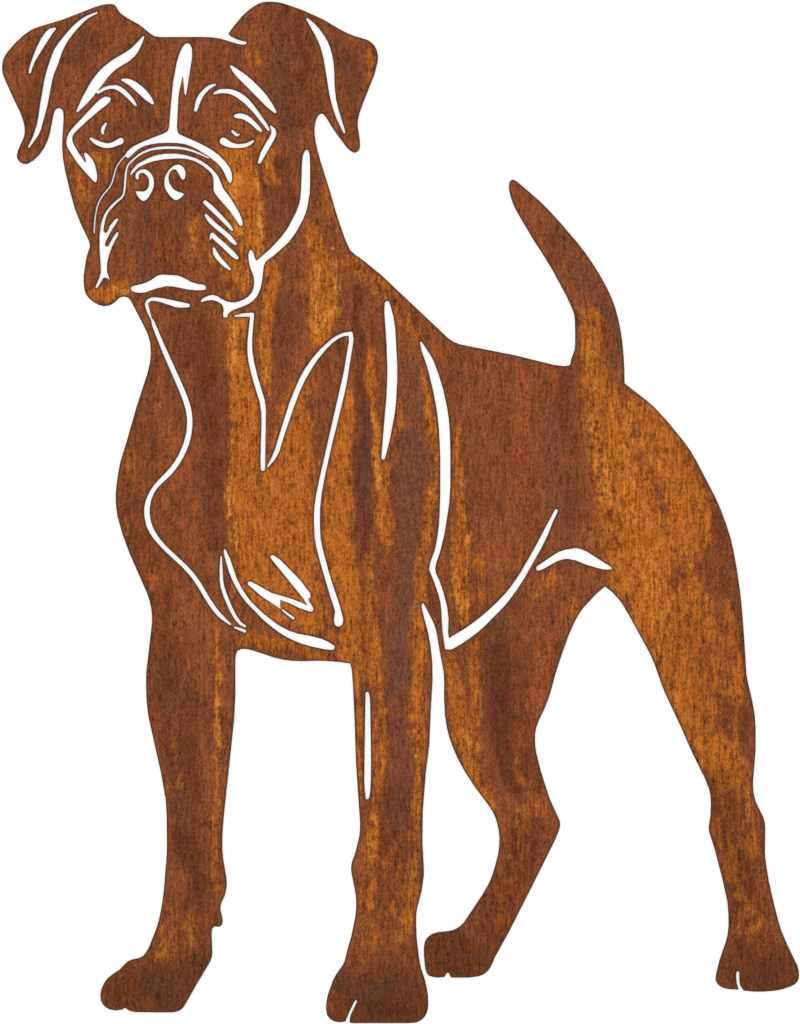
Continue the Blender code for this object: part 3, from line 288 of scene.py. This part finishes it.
        (0.60, (368, 560, 5), (366, 600, 5), (364, 650, 4)),
        (0.70, (320, 252, 2.2), (322, 262, 2)),
        (0.80, (324, 274, 4), (325, 288, 4.5)),
        (0.80, (326, 306, 4), (324, 312, 3)),
        (0.36, (574, 352, 5), (576, 372, 6), (578, 400, 8), (582, 440, 9), (590, 490, 10), (598, 540, 9)),
        (0.55, (564, 380, 8), (566, 420, 8), (572, 470, 9), (576, 520, 10)),
        (0.70, (552, 236, 4), (556, 242, 3.4)),
        (0.80, (500, 650, 10), (502, 690, 12), (498, 730, 14), (506, 770, 10), (520, 800, 6)),
        (0.55, (528, 650, 5), (526, 690, 5)),
        (0.55, (494, 606, 8), (520, 600, 10)),
        (0.36, (714, 520, 8), (722, 570, 10), (726, 620, 8), (730, 668, 5)),
        (0.50, (704, 548, 6), (712, 580, 5)),
        (0.65, (672, 404, 5), (692, 436, 7), (708, 474, 6)),
        (0.55, (654, 424, 4), (660, 432, 3)),
        (0.60, (746, 720, 5), (748, 760, 4)),
        (0.50, (194, 700, 6), (192, 760, 6), (198, 800, 6)),
        (0.60, (176, 830, 5), (182, 860, 10), (196, 880, 9), (186, 910, 6)),
        (0.55, (170, 650, 5), (168, 690, 6)),
        (0.45, (388, 870, 4), (382, 920, 4), (376, 960, 4)),
        (0.60, (390, 680, 5), (386, 700, 4)),
        (0.55, (470, 690, 3), (462, 730, 3), (470, 770, 3)),
        (0.65, (374, 1010, 12), (400, 1014, 12)),
        (0.50, (740, 950, 8), (760, 976, 14)),
        (0.50, (538, 820, 5), (548, 826, 5)),
        (0.55, (704, 772, 5), (712, 792, 7), (720, 812, 5)),
    ],
    "dull": [
        # Where all the rust is darker: ears, chest's edge, legs and paws.
        (0.50, (46, 50, 16), (36, 90, 16), (28, 140, 10)),
        (0.35, (100, 30, 12), (80, 60, 14)),
        (0.50, (290, 24, 20), (300, 70, 22), (296, 120, 16)),
        (0.45, (340, 50, 14), (350, 110, 14)),
        (0.35, (140, 64, 14), (150, 120, 14)),
        (0.35, (150, 200, 16), (170, 240, 20), (176, 284, 16)),
        (0.50, (134, 340, 12), (122, 430, 14), (126, 500, 14), (142, 560, 16), (160, 630, 20)),
        (0.55, (164, 650, 20), (170, 720, 20), (184, 800, 20), (192, 850, 20)),
        (0.50, (204, 880, 14), (192, 930, 20)),
        (0.88, (194, 976, 30), (160, 990, 30), (120, 992, 26)),
        (0.40, (240, 644, 8), (330, 656, 7)),
        (0.35, (146, 440, 12), (148, 490, 14)),
        (0.40, (396, 800, 20), (396, 900, 24)),
        (0.86, (350, 1004, 34), (376, 1000, 40), (410, 1004, 34)),
        (0.45, (488, 640, 22), (506, 700, 22), (530, 780, 18)),
        (0.75, (524, 830, 18), (500, 910, 22), (490, 950, 26)),
        (1.00, (440, 956, 30), (476, 962, 30)),
        (0.30, (672, 420, 8), (710, 490, 10), (730, 560, 10), (742, 640, 8), (748, 730, 8)),
        (0.35, (690, 620, 18), (716, 720, 18)),
        (0.80, (718, 780, 14), (734, 850, 16), (744, 910, 18)),
        (0.82, (750, 950, 22), (740, 974, 34), (776, 974, 34)),
        (0.35, (594, 320, 12), (602, 384, 14)),
    ],
    "pitted": [
        # Where dark pits lie thick.
        (0.78, (586, 392, 10), (592, 440, 13), (604, 490, 15), (618, 536, 12)),
        (0.60, (664, 412, 9), (690, 446, 10), (706, 486, 9)),
        (0.60, (712, 480, 9), (726, 540, 10), (736, 610, 8), (742, 680, 8), (746, 740, 8)),
        (0.55, (716, 770, 10), (730, 820, 12), (742, 880, 12), (752, 930, 12)),
        (0.80, (356, 266, 8), (378, 286, 9), (402, 312, 7), (430, 340, 6)),
        (0.40, (312, 250, 8), (322, 290, 10), (326, 330, 9)),
        (0.60, (228, 330, 7), (226, 400, 7), (228, 480, 8), (234, 560, 8)),
        (0.60, (374, 380, 6), (376, 440, 7), (384, 500, 8), (388, 560, 7)),
        (0.60, (362, 600, 7), (370, 680, 8), (390, 760, 12), (392, 850, 16), (386, 930, 14)),
        (0.70, (424, 420, 4), (428, 500, 5), (420, 580, 5)),
        (0.70, (458, 480, 6), (466, 550, 8), (472, 606, 7)),
        (0.70, (456, 690, 7), (466, 740, 9), (480, 790, 7)),
        (0.60, (180, 850, 8), (198, 880, 9), (204, 920, 8)),
        (0.60, (166, 900, 8), (164, 940, 9)),
        (0.55, (84, 190, 8), (90, 230, 8)),
        (0.60, (232, 250, 7), (238, 284, 9), (222, 300, 7)),
        (0.60, (264, 150, 5), (268, 190, 5), (262, 240, 5)),
        (0.55, (366, 50, 6), (370, 90, 6), (352, 130, 6)),
        (0.50, (588, 290, 7), (598, 340, 9), (604, 380, 9)),
        (0.50, (520, 770, 10), (526, 830, 12), (508, 890, 12)),
    ],
    "purple": [
        # Where the dark scale is still on the steel.
        (0.50, (85, 40, 8), (78, 66, 8)),
        (0.50, (60, 30, 5), (44, 56, 6)),
        (0.70, (146, 84, 4), (150, 104, 9), (146, 126, 7)),
        (0.45, (212, 50, 8), (206, 70, 6)),
        (0.60, (276, 56, 8), (280, 90, 14), (286, 124, 10), (292, 140, 6)),
        (0.45, (268, 16, 8), (286, 40, 8)),
        (0.55, (336, 40, 4), (350, 66, 8), (352, 90, 6)),
        (0.85, (142, 206, 7), (144, 240, 9), (143, 278, 8)),
        (0.60, (176, 208, 6), (178, 232, 4)),
        (0.55, (270, 186, 5), (276, 220, 7)),
        (0.34, (290, 240, 6), (288, 280, 10), (290, 320, 12), (284, 360, 11)),
        (0.45, (350, 262, 4), (354, 300, 7), (358, 350, 5)),
        (0.85, (363, 400, 5), (364, 460, 7), (366, 510, 6)),
        (0.60, (413, 370, 8), (414, 420, 11)),
        (
            0.85, (410, 440, 11), (410, 490, 14), (409, 540, 15), (406, 590, 13), (400, 640, 12),
            (399, 690, 12),
        ),
        (0.70, (396, 720, 9), (396, 770, 9), (398, 820, 9)),
        (0.30, (180, 360, 16), (176, 400, 10)),
        (0.55, (203, 470, 5), (205, 520, 6)),
        (0.35, (160, 660, 14), (166, 720, 14), (180, 780, 16), (186, 830, 14)),
        (0.30, (480, 380, 14), (486, 440, 16), (484, 500, 14)),
        (0.55, (553, 412, 5), (555, 450, 7), (560, 500, 10), (570, 540, 7)),
        (0.60, (580, 268, 9), (590, 292, 8), (616, 330, 4), (619, 370, 4)),
        (0.50, (548, 222, 7), (566, 246, 8)),
        (0.45, (636, 394, 6), (664, 424, 4)),
        (0.55, (510, 600, 7), (500, 650, 8)),
        (0.60, (150, 985, 12), (170, 990, 14), (184, 980, 8)),
        (0.55, (340, 985, 8), (372, 990, 10), (400, 985, 14), (412, 1000, 8)),
        (0.45, (455, 955, 8), (478, 956, 8)),
        (0.35, (738, 975, 10), (770, 970, 14)),
    ],
}


def shown(red, green, blue):
    """A colour given as it shows on screen, from 0 to 255, as the linear one that Blender works in."""
    channels = [channel / 255 for channel in (red, green, blue)]
    return [c / 12.92 if c <= 0.04045 else ((c + 0.055) / 1.055) ** 2.4 for c in channels]


def colour_property(name, description, default):
    return FloatVectorProperty(
        name=name, description=description, default=default, size=3, min=0, max=1, subtype="COLOR"
    )


class DogSheetShape(bpy.types.PropertyGroup):
    """Sizes of what is worked into the cut sheet."""

    edge_radius: FloatProperty(
        name="Edge radius", description="Rounding of every cut edge", default=0.00018, unit="LENGTH",
        precision=5,
    )
    # The band that this sets is darkened in the material: partly scorched steel, partly painted edge shade.
    scorch_and_shade_rim_width: FloatProperty(
        name="Rim width", description="Width of the scorched band beside a cut", default=0.00185,
        unit="LENGTH", precision=5,
    )
    mesh_pitch: FloatProperty(
        name="Mesh pitch", description="Size of the small squares that the faces are cut into",
        default=0.0026, unit="LENGTH", precision=5,
    )
    relief_depth: FloatProperty(
        name="Relief depth", description="Deepest hollow that the rust has eaten into the faces",
        default=0.00006, unit="LENGTH", precision=6,
    )


class DogRustColours(bpy.types.PropertyGroup):
    """Colours of the rust."""

    brown: colour_property("Brown", "Even rust over most of the sheet", shown(134, 72, 34))
    dark_brown: colour_property("Dark brown", "Darker mottling in the brown", shown(104, 55, 30))
    orange: colour_property("Orange", "Fresh powdery rust", shown(170, 96, 28))
    ochre: colour_property("Ochre", "Palest rust, in run marks", shown(192, 122, 48))
    red: colour_property("Red brown", "Reddish rust", shown(138, 67, 29))
    maroon: colour_property("Maroon", "Old dark rust", shown(82, 38, 22))
    purple: colour_property("Purple brown", "Steel's dark scale under thin rust", shown(101, 59, 40))
    # This band's colour is partly scorched steel and partly painted shade along the cut edges.
    scorch_and_shade_rim: colour_property("Rim", "Scorched band beside the cuts", shown(66, 42, 28))


class DogStageLook(bpy.types.PropertyGroup):
    """Floor, light and camera."""

    floor_size: FloatProperty(name="Floor size", description="Side of the floor", default=12, unit="LENGTH")
    floor_colour: colour_property("Floor", "Colour of the floor", (0.86, 0.86, 0.86))
    key_strength: FloatProperty(name="Key strength", description="Light from above", default=2.6)
    key_angle: FloatProperty(
        name="Key size", description="How wide the light from above looks", default=0.20, subtype="ANGLE"
    )
    key_tilt: FloatProperty(
        name="Key tilt", description="How far the light leans to the left", default=0.14, subtype="ANGLE"
    )
    sky_strength: FloatProperty(name="Sky strength", description="Even light all round", default=0.40)
    camera_height: FloatProperty(
        name="Camera height", description="Camera's height over the sheet", default=4.0, unit="LENGTH"
    )


class Wire:
    """An output socket. Arithmetic on it adds Math nodes."""

    def __init__(self, board, socket):
        self.board = board
        self.socket = socket

    def math(self, operation, *values):
        return self.board.node("ShaderNodeMath", {"operation": operation}, dict(enumerate(values)))

    def __add__(self, other):
        return self.math("ADD", self, other)

    def __radd__(self, other):
        return self.math("ADD", other, self)

    def __sub__(self, other):
        return self.math("SUBTRACT", self, other)

    def __rsub__(self, other):
        return self.math("SUBTRACT", other, self)

    def __mul__(self, other):
        return self.math("MULTIPLY", self, other)

    def __rmul__(self, other):
        return self.math("MULTIPLY", other, self)

    def size(self):
        return self.math("ABSOLUTE", self)

    def ramp(self, start, end):
        """0 up to the start and 1 from the end on, with a soft step between."""
        settings = {"interpolation_type": "SMOOTHSTEP"}
        return self.board.node("ShaderNodeMapRange", settings, {0: self, 1: start, 2: end, 3: 0.0, 4: 1.0})


class Board:
    """A material's nodes."""

    def __init__(self, name):
        self.material = bpy.data.materials.new(name)
        self.material.use_nodes = True
        self.tree = self.material.node_tree
        self.shader = self.tree.nodes["Principled BSDF"]

    def node(self, kind, settings=None, values=None, output=0):
        made = self.tree.nodes.new(kind)
        for name, value in (settings or {}).items():
            setattr(made, name, value)
        self.fill(made, values or {})
        return Wire(self, made.outputs[output])

    def fill(self, made, values):
        for key, value in values.items():
            if isinstance(value, Wire):
                self.tree.links.new(value.socket, made.inputs[key])
            else:
                made.inputs[key].default_value = value

    def mix(self, factor, under, over):
        values = {0: factor}
        for key, colour in ((6, under), (7, over)):
            values[key] = colour if isinstance(colour, Wire) else (*colour, 1)
        return self.node("ShaderNodeMix", {"data_type": "RGBA"}, values, 2)

    def scaled(self, colour, factor):
        return self.node("ShaderNodeVectorMath", {"operation": "SCALE"}, {0: colour, 3: factor})

    def pattern(self, place, width, length, detail, roughness, shift):
        """Noise about 0, mostly from -1 to 1, whose grains are so wide and long in pattern units."""
        scale = (1 / (width * UNIT), 1 / (length * UNIT), 1 / (width * UNIT))
        spot = {"Vector": place, "Location": (shift,) * 3, "Scale": scale}
        moved = self.node("ShaderNodeMapping", None, spot)
        values = {"Vector": moved, "Scale": 1, "Detail": detail, "Roughness": roughness}
        return (self.node("ShaderNodeTexNoise", None, values) - 0.5) * 4


def rust_material(colours):
    board = Board("rusted_steel")
    place = board.node("ShaderNodeTexCoord", None, None, "Object")
    field = {
        name: board.node("ShaderNodeAttribute", {"attribute_name": name}, None, "Fac")
        for name in (*RUST_STREAKS, "scorch_and_shade_rim")
    }

    blotch, streak, curd, fleck, vein, crack, pit, speck, grit = (
        board.pattern(place, *pattern) for pattern in RUST_PATTERNS.values()
    )
    vein = vein.size().ramp(0.20, 0.02)
    break_up = 0.46 * curd + 0.32 * streak + 0.26 * fleck

    # Brown ground: mottled, with upright streaks in it and some red.
    shade = 0.45 * blotch + 0.50 * streak + 0.50 * curd
    ground = board.mix(shade.ramp(-0.75, 0.75), colours.dark_brown, colours.brown)
    red_mask = (field["red"] - 0.50 + break_up).ramp(-0.35, 0.45)
    ground = board.mix(0.85 * red_mask, ground, colours.red)

    # Dark scale and old rust.
    purple_mask = (field["purple"] - 0.50 + 0.8 * break_up).ramp(-0.38, 0.42)
    ground = board.mix(0.90 * purple_mask, ground, colours.purple)
    maroon_mask = (field["maroon"] - 0.52 + break_up).ramp(-0.30, 0.42)
    ground = board.mix(0.72 * maroon_mask, ground, colours.maroon)

    # Fresh rust: orange with crumbling edges, and ochre on its palest runs.
    orange_mask = (field["orange"] - 0.50 + break_up - 0.45 * maroon_mask).ramp(-0.32, 0.40)
    orange_tone = board.mix((0.4 * shade + 0.4 * crack).ramp(-1.0, 0.5), colours.red, colours.orange)
    ground = board.mix(0.92 * orange_mask, ground, orange_tone)
    ochre_push = 0.36 * fleck + 0.26 * curd + 0.20 * streak + 0.28 * vein
    ochre_mask = (field["ochre"] - 0.78 + 0.16 * orange_mask + ochre_push).ramp(-0.32, 0.50)
    ground = board.mix(0.72 * ochre_mask, ground, colours.ochre)

    # Specks of old rust, strongest in the orange, dark pits, and specks of fresh rust.
    old_specks = (0.6 * speck + 0.4 * fleck + 0.3 * crack).ramp(0.26, 0.90)
    ground = board.mix((0.26 + 0.20 * orange_mask) * old_specks, ground, colours.maroon)
    pits = (pit + 0.3 * speck + 1.35 * field["pitted"]).ramp(0.85, 1.55)
    ground = board.mix(0.85 * pits, ground, colours.maroon)
    new_specks = (-0.6 * speck - 0.5 * fleck + 0.3 * grit).ramp(0.28, 1.0)
    ground = board.mix(0.34 * new_specks, ground, colours.orange)
    tone = 1.0 + 0.40 * crack + 0.30 * fleck + 0.54 * speck + 0.32 * grit
    ground = board.scaled(ground, tone * (1.0 - 0.46 * field["dull"]))

    # Dark rim beside the cuts: partly scorched steel, partly painted shade along the cut edges.
    scorch_and_shade_mask = (field["scorch_and_shade_rim"] + 0.26 * curd + 0.16 * speck).ramp(0.15, 0.85)
    finished = board.mix(0.80 * scorch_and_shade_mask, ground, colours.scorch_and_shade_rim)

    rough = 0.82 + 0.12 * orange_mask - 0.12 * purple_mask - 0.08 * scorch_and_shade_mask + 0.04 * speck
    crust = 0.30 * fleck + 0.22 * speck + 0.16 * curd + 0.10 * grit + 0.5 * orange_mask
    bumped = board.node("ShaderNodeBump", None, {"Strength": 0.6, "Distance": 0.00022, "Height": crust})
    board.fill(
        board.shader,
        {
            "Base Color": finished,
            "Roughness": rough,
            "Metallic": 0.06 * purple_mask,
            "Specular IOR Level": 0.12,
            "Normal": bumped,
        },
    )
    return board.material


def in_pattern(points):
    """Places on the sheet, in metres, as places on the pattern."""
    return np.stack(
        [
            (points[:, 0] - SHEET_LOW.x) / UNIT + PATTERN_LEFT,
            (SHEET_HIGH.y - points[:, 1]) / UNIT + PATTERN_TOP,
        ],
        axis=1,
    )


def wandered(places):
    """The places pushed about a little, so that the streaks' edges wander."""
    moved = places.copy()
    for width, push in SWAYS:
        for row, (x, y) in enumerate(places):
            for side, height in enumerate(SWAY_HEIGHTS):
                spot = Vector((x / width, y / (SWAY_STRETCH * width), push + height))
                moved[row, side] += push * noise.noise(spot)
    return moved


def streak_field(places, streaks):
    """How strongly each place is covered by any of the streaks, from 0 to 1."""
    cover = np.zeros(len(places))
    for strength, *knots in streaks:
        for (x0, y0, w0), (x1, y1, w1) in zip(knots, knots[1:]):
            start, run = np.array((x0, y0)), np.array((x1 - x0, y1 - y0))
            share = np.clip((places - start) @ run / (run @ run), 0, 1)
            away = np.linalg.norm(places - start - share[:, None] * run, axis=1)
            reach = away / (w0 + (w1 - w0) * share + EXTRA_HALF_WIDTH)
            fade = np.clip((FADE_END - reach) / FADE_LENGTH, 0, 1)
            cover = np.maximum(cover, strength * fade * fade * (3 - 2 * fade))
    return cover


def side_faces(mesh):
    """The faces that lie in the sheet's front or in its back."""
    found = []
    for face in mesh.faces:
        heights = [vert.co.z for vert in face.verts]
        lowest, highest = min(heights), max(heights)
        flat = highest - lowest < MERGE_DISTANCE
        outermost = lowest > SHEET_HIGH.z - MERGE_DISTANCE or highest < SHEET_LOW.z + MERGE_DISTANCE
        if flat and outermost:
            found.append(face)
    return found


def round_cut_edges(mesh, walls, radius):
    """Rounds the edges between the cuts' walls and both faces."""
    cuts = [
        edge for edge in mesh.edges
        if len(edge.link_faces) == 2
        and sorted(abs(face.normal.z) > 0.5 for face in edge.link_faces) == [False, True]
    ]
    rounded = bmesh.ops.bevel(
        mesh, geom=cuts, offset=radius, offset_type="OFFSET", segments=2, profile=0.5, affect="EDGES",
        clamp_overlap=False, loop_slide=False, material=-1,
    )["faces"]
    faces = list(dict.fromkeys(side_faces(mesh) + rounded))
    roots = {}
    for vert in dict.fromkeys(vert for face in faces for vert in face.verts):
        near = walls.find_nearest(Vector((vert.co.x, vert.co.y, 0)))[0]
        roots[vert] = Vector((near.x, near.y, vert.co.z))
    unfold(mesh, faces, roots)


def inset_rims(mesh, walls, width):
    """Sets a rim off all round both faces. It narrows where two cuts come close together."""
    inside = mesh.faces.layers.int.new("inside")
    sides = bmesh.ops.triangulate(
        mesh, faces=side_faces(mesh), quad_method="BEAUTY", ngon_method="BEAUTY"
    )["faces"]
    rims = bmesh.ops.inset_region(
        mesh, faces=sides, thickness=width, use_boundary=True, use_even_offset=False
    )["faces"]
    inner = {vert for face in sides for vert in face.verts}
    roots = {}
    for vert in inner:
        for edge in vert.link_edges:
            if edge.other_vert(vert) not in inner:
                roots[vert] = edge.other_vert(vert).co.copy()
    for vert, root in roots.items():
        step = vert.co - root
        for _ in range(INSET_ROUNDS):
            place = root + step
            clear = walls.find_nearest(Vector((place.x, place.y, 0)))[3]
            if clear > INSET_CLEARANCE * step.length:
                break
            step *= INSET_SHARE
        vert.co = root + step
    unfold(mesh, sides + rims, roots)
    for face in sides:
        face[inside] = 1
    edges = [edge for edge in mesh.edges if all(near[inside] for near in edge.link_faces)]
    bmesh.ops.dissolve_limit(mesh, angle_limit=STRAIGHT_ANGLE, verts=[], edges=edges)
    return [face for face in mesh.faces if face[inside]]


def unfold(mesh, faces, roots):
    """Draws moved points back towards where they came from, wherever they have turned a face over."""
    middle = (SHEET_LOW.z + SHEET_HIGH.z) / 2
    for _ in range(UNFOLD_ROUNDS):
        mesh.normal_update()
        folded = [face for face in faces if face.normal.z * (face.verts[0].co.z - middle) <= 0]
        for vert in {vert for face in folded for vert in face.verts if vert in roots}:
            vert.co = roots[vert].lerp(vert.co, UNFOLD_SHARE)


def cut_into_squares(mesh, faces, axis, low, high, pitch):
    """Cuts flat faces along every grid line between two of them, halving the stretch each time."""
    if high - low < 2 or not faces:
        return faces
    middle = (low + high) // 2
    place = Vector((0, 0, 0))
    place[axis] = middle * pitch
    direction = Vector((0, 0, 0))
    direction[axis] = 1
    near = dict.fromkeys(item for face in faces for item in (*face.verts, *face.edges, face))
    cut = bmesh.ops.bisect_plane(
        mesh, geom=list(near), dist=CUT_DISTANCE, plane_co=place, plane_no=direction
    )
    pieces = [item for item in cut["geom"] if isinstance(item, bmesh.types.BMFace)]
    below = [face for face in pieces if face.calc_center_median()[axis] < place[axis]]
    above = [face for face in pieces if face.calc_center_median()[axis] >= place[axis]]
    return (
        cut_into_squares(mesh, below, axis, low, middle, pitch)
        + cut_into_squares(mesh, above, axis, middle, high, pitch)
    )


class DOGFIGURE_OT_sheet(bpy.types.Operator):
    """Make the cut and rusted steel sheet"""

    bl_idname = "dog_figure.sheet"
    bl_label = "Sheet"

    def execute(self, context):
        shape = context.scene.dog_sheet_shape
        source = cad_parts[SHEET_NODE]
        mesh = bmesh.new()
        mesh.from_mesh(source.data)
        bmesh.ops.remove_doubles(mesh, verts=mesh.verts, dist=MERGE_DISTANCE)
        bmesh.ops.dissolve_limit(
            mesh, angle_limit=STRAIGHT_ANGLE, verts=mesh.verts, edges=mesh.edges
        )
        bmesh.ops.dissolve_degenerate(mesh, dist=MERGE_DISTANCE, edges=mesh.edges)
        bmesh.ops.triangulate(mesh, faces=side_faces(mesh), quad_method="BEAUTY", ngon_method="BEAUTY")
        flattened = mesh.copy()
        bmesh.ops.delete(flattened, geom=side_faces(flattened), context="FACES")
        walls = BVHTree.FromBMesh(flattened)
        flattened.free()
        round_cut_edges(mesh, walls, shape.edge_radius)
        mesh.normal_update()
        sides = inset_rims(mesh, walls, shape.scorch_and_shade_rim_width)
        mesh.normal_update()
        pitch = shape.mesh_pitch
        for axis in (0, 1):
            low = int(SHEET_LOW[axis] / pitch) - 1
            high = int(SHEET_HIGH[axis] / pitch) + 1
            sides = cut_into_squares(mesh, sides, axis, low, high, pitch)
        self.eat_relief(mesh, sides, walls, shape)
        for face in mesh.faces:
            face.smooth = True
        # Marks the band beside the cuts that the material darkens: partly scorched steel, partly painted
        # edge shade.
        scorch_and_shade_rim = mesh.verts.layers.float.new("scorch_and_shade_rim")
        inside = {vert for face in sides for vert in face.verts}
        for vert in mesh.verts:
            vert[scorch_and_shade_rim] = 0.0 if vert in inside else 1.0
        bmesh.ops.triangulate(mesh, faces=mesh.faces)
        data = bpy.data.meshes.new("rusted_dog_sheet")
        mesh.to_mesh(data)
        mesh.free()
        self.add_fields(data)
        data.materials.append(rust_material(context.scene.dog_rust_colours))
        sheet = bpy.data.objects.new("rusted_dog_sheet", data)
        context.scene.collection.objects.link(sheet)
        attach(sheet, "root")
        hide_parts(SHEET_NODE)
        return {"FINISHED"}

    def eat_relief(self, mesh, sides, walls, shape):
        """Sinks both faces unevenly, and less towards the cuts."""
        middle = (SHEET_LOW.z + SHEET_HIGH.z) / 2
        for vert in {vert for face in sides for vert in face.verts}:
            clear = walls.find_nearest(Vector((vert.co.x, vert.co.y, 0)))[3]
            share = min(1.0, max(0.0, (clear - HOLLOWS_START) / HOLLOWS_RISE))
            spot = Vector([place * rate for place, rate in zip(vert.co, HOLLOWS_PER_METRE)])
            depth = 0.5 + 0.5 * noise.fractal(spot, 1.0, 2.0, HOLLOWS_OCTAVES)
            sink = shape.relief_depth * share * min(1.0, max(0.0, depth))
            vert.co.z += -sink if vert.co.z > middle else sink

    def add_fields(self, data):
        """Stores where each colour of rust lies."""
        points = np.empty(len(data.vertices) * 3)
        data.vertices.foreach_get("co", points)
        places = wandered(in_pattern(points.reshape(-1, 3)))
        for name, streaks in RUST_STREAKS.items():
            field = data.attributes.new(name, "FLOAT", "POINT")
            field.data.foreach_set("value", streak_field(places, streaks).astype(np.float32))


class DOGFIGURE_OT_stage(bpy.types.Operator):
    """Set the floor, the light and the camera"""

    bl_idname = "dog_figure.stage"
    bl_label = "Stage"

    def execute(self, context):
        look = context.scene.dog_stage_look
        self.lay_floor(context, look)
        self.hang_lights(context, look)
        self.place_camera(context, look)
        return {"FINISHED"}

    def lay_floor(self, context, look):
        mesh = bmesh.new()
        bmesh.ops.create_grid(mesh, x_segments=1, y_segments=1, size=look.floor_size / 2)
        bmesh.ops.translate(mesh, verts=mesh.verts, vec=(0, 0, SHEET_LOW.z - FLOOR_GAP))
        data = bpy.data.meshes.new("pale_floor")
        mesh.to_mesh(data)
        mesh.free()
        board = Board("pale_floor")
        board.fill(board.shader, {"Base Color": (*look.floor_colour, 1), "Roughness": 0.9})
        data.materials.append(board.material)
        floor = bpy.data.objects.new("pale_floor", data)
        context.scene.collection.objects.link(floor)

    def hang_lights(self, context, look):
        key = bpy.data.lights.new("key_light", "SUN")
        key.energy = look.key_strength
        key.angle = look.key_angle
        lamp = bpy.data.objects.new("key_light", key)
        lamp.rotation_euler = (-0.5 * look.key_tilt, -look.key_tilt, 0)
        context.scene.collection.objects.link(lamp)
        world = bpy.data.worlds.new("pale_sky")
        world.use_nodes = True
        backdrop = world.node_tree.nodes["Background"]
        backdrop.inputs["Color"].default_value = (1, 1, 1, 1)
        backdrop.inputs["Strength"].default_value = look.sky_strength
        context.scene.world = world
        context.scene.view_settings.view_transform = "Standard"

    def place_camera(self, context, look):
        """Looks straight down, framed so that one pattern unit is one pixel of the picture."""
        data = bpy.data.cameras.new("camera")
        data.sensor_fit = "AUTO"
        data.sensor_width = 36
        data.lens = data.sensor_width * look.camera_height / (PICTURE_HEIGHT * UNIT)
        data.clip_end = 50
        camera = bpy.data.objects.new("camera", data)
        middle = (SHEET_LOW + SHEET_HIGH) / 2
        off_x = PICTURE_WIDTH / 2 - (PATTERN_LEFT + (SHEET_HIGH.x - SHEET_LOW.x) / UNIT / 2)
        off_y = PICTURE_HEIGHT / 2 - (PATTERN_TOP + PATTERN_BOTTOM) / 2
        camera.location = (
            middle.x + off_x * UNIT, middle.y - off_y * UNIT, SHEET_HIGH.z + look.camera_height
        )
        context.scene.collection.objects.link(camera)
        context.scene.camera = camera


class DOGFIGURE_PT_panel(bpy.types.Panel):
    bl_idname = "DOGFIGURE_PT_panel"
    bl_label = "Dog Figure"
    bl_space_type = "VIEW_3D"
    bl_region_type = "UI"
    bl_category = "Dog Figure"

    def draw(self, context):
        for name, group in SETTINGS.items():
            box = self.layout.box()
            for field in group.__annotations__:
                box.prop(getattr(context.scene, name), field)
        for operator in OPERATORS:
            self.layout.operator(operator.bl_idname)


SETTINGS = {
    "dog_sheet_shape": DogSheetShape,
    "dog_rust_colours": DogRustColours,
    "dog_stage_look": DogStageLook,
}
OPERATORS = (DOGFIGURE_OT_sheet, DOGFIGURE_OT_stage)
CLASSES = (*SETTINGS.values(), *OPERATORS, DOGFIGURE_PT_panel)


def register():
    for item in CLASSES:
        bpy.utils.register_class(item)
    for name, group in SETTINGS.items():
        setattr(bpy.types.Scene, name, PointerProperty(type=group))


def unregister():
    for name in SETTINGS:
        delattr(bpy.types.Scene, name)
    for item in reversed(CLASSES):
        bpy.utils.unregister_class(item)


def main():
    register()
    bpy.ops.dog_figure.sheet()
    bpy.ops.dog_figure.stage()


if __name__ == "__main__":
    main()
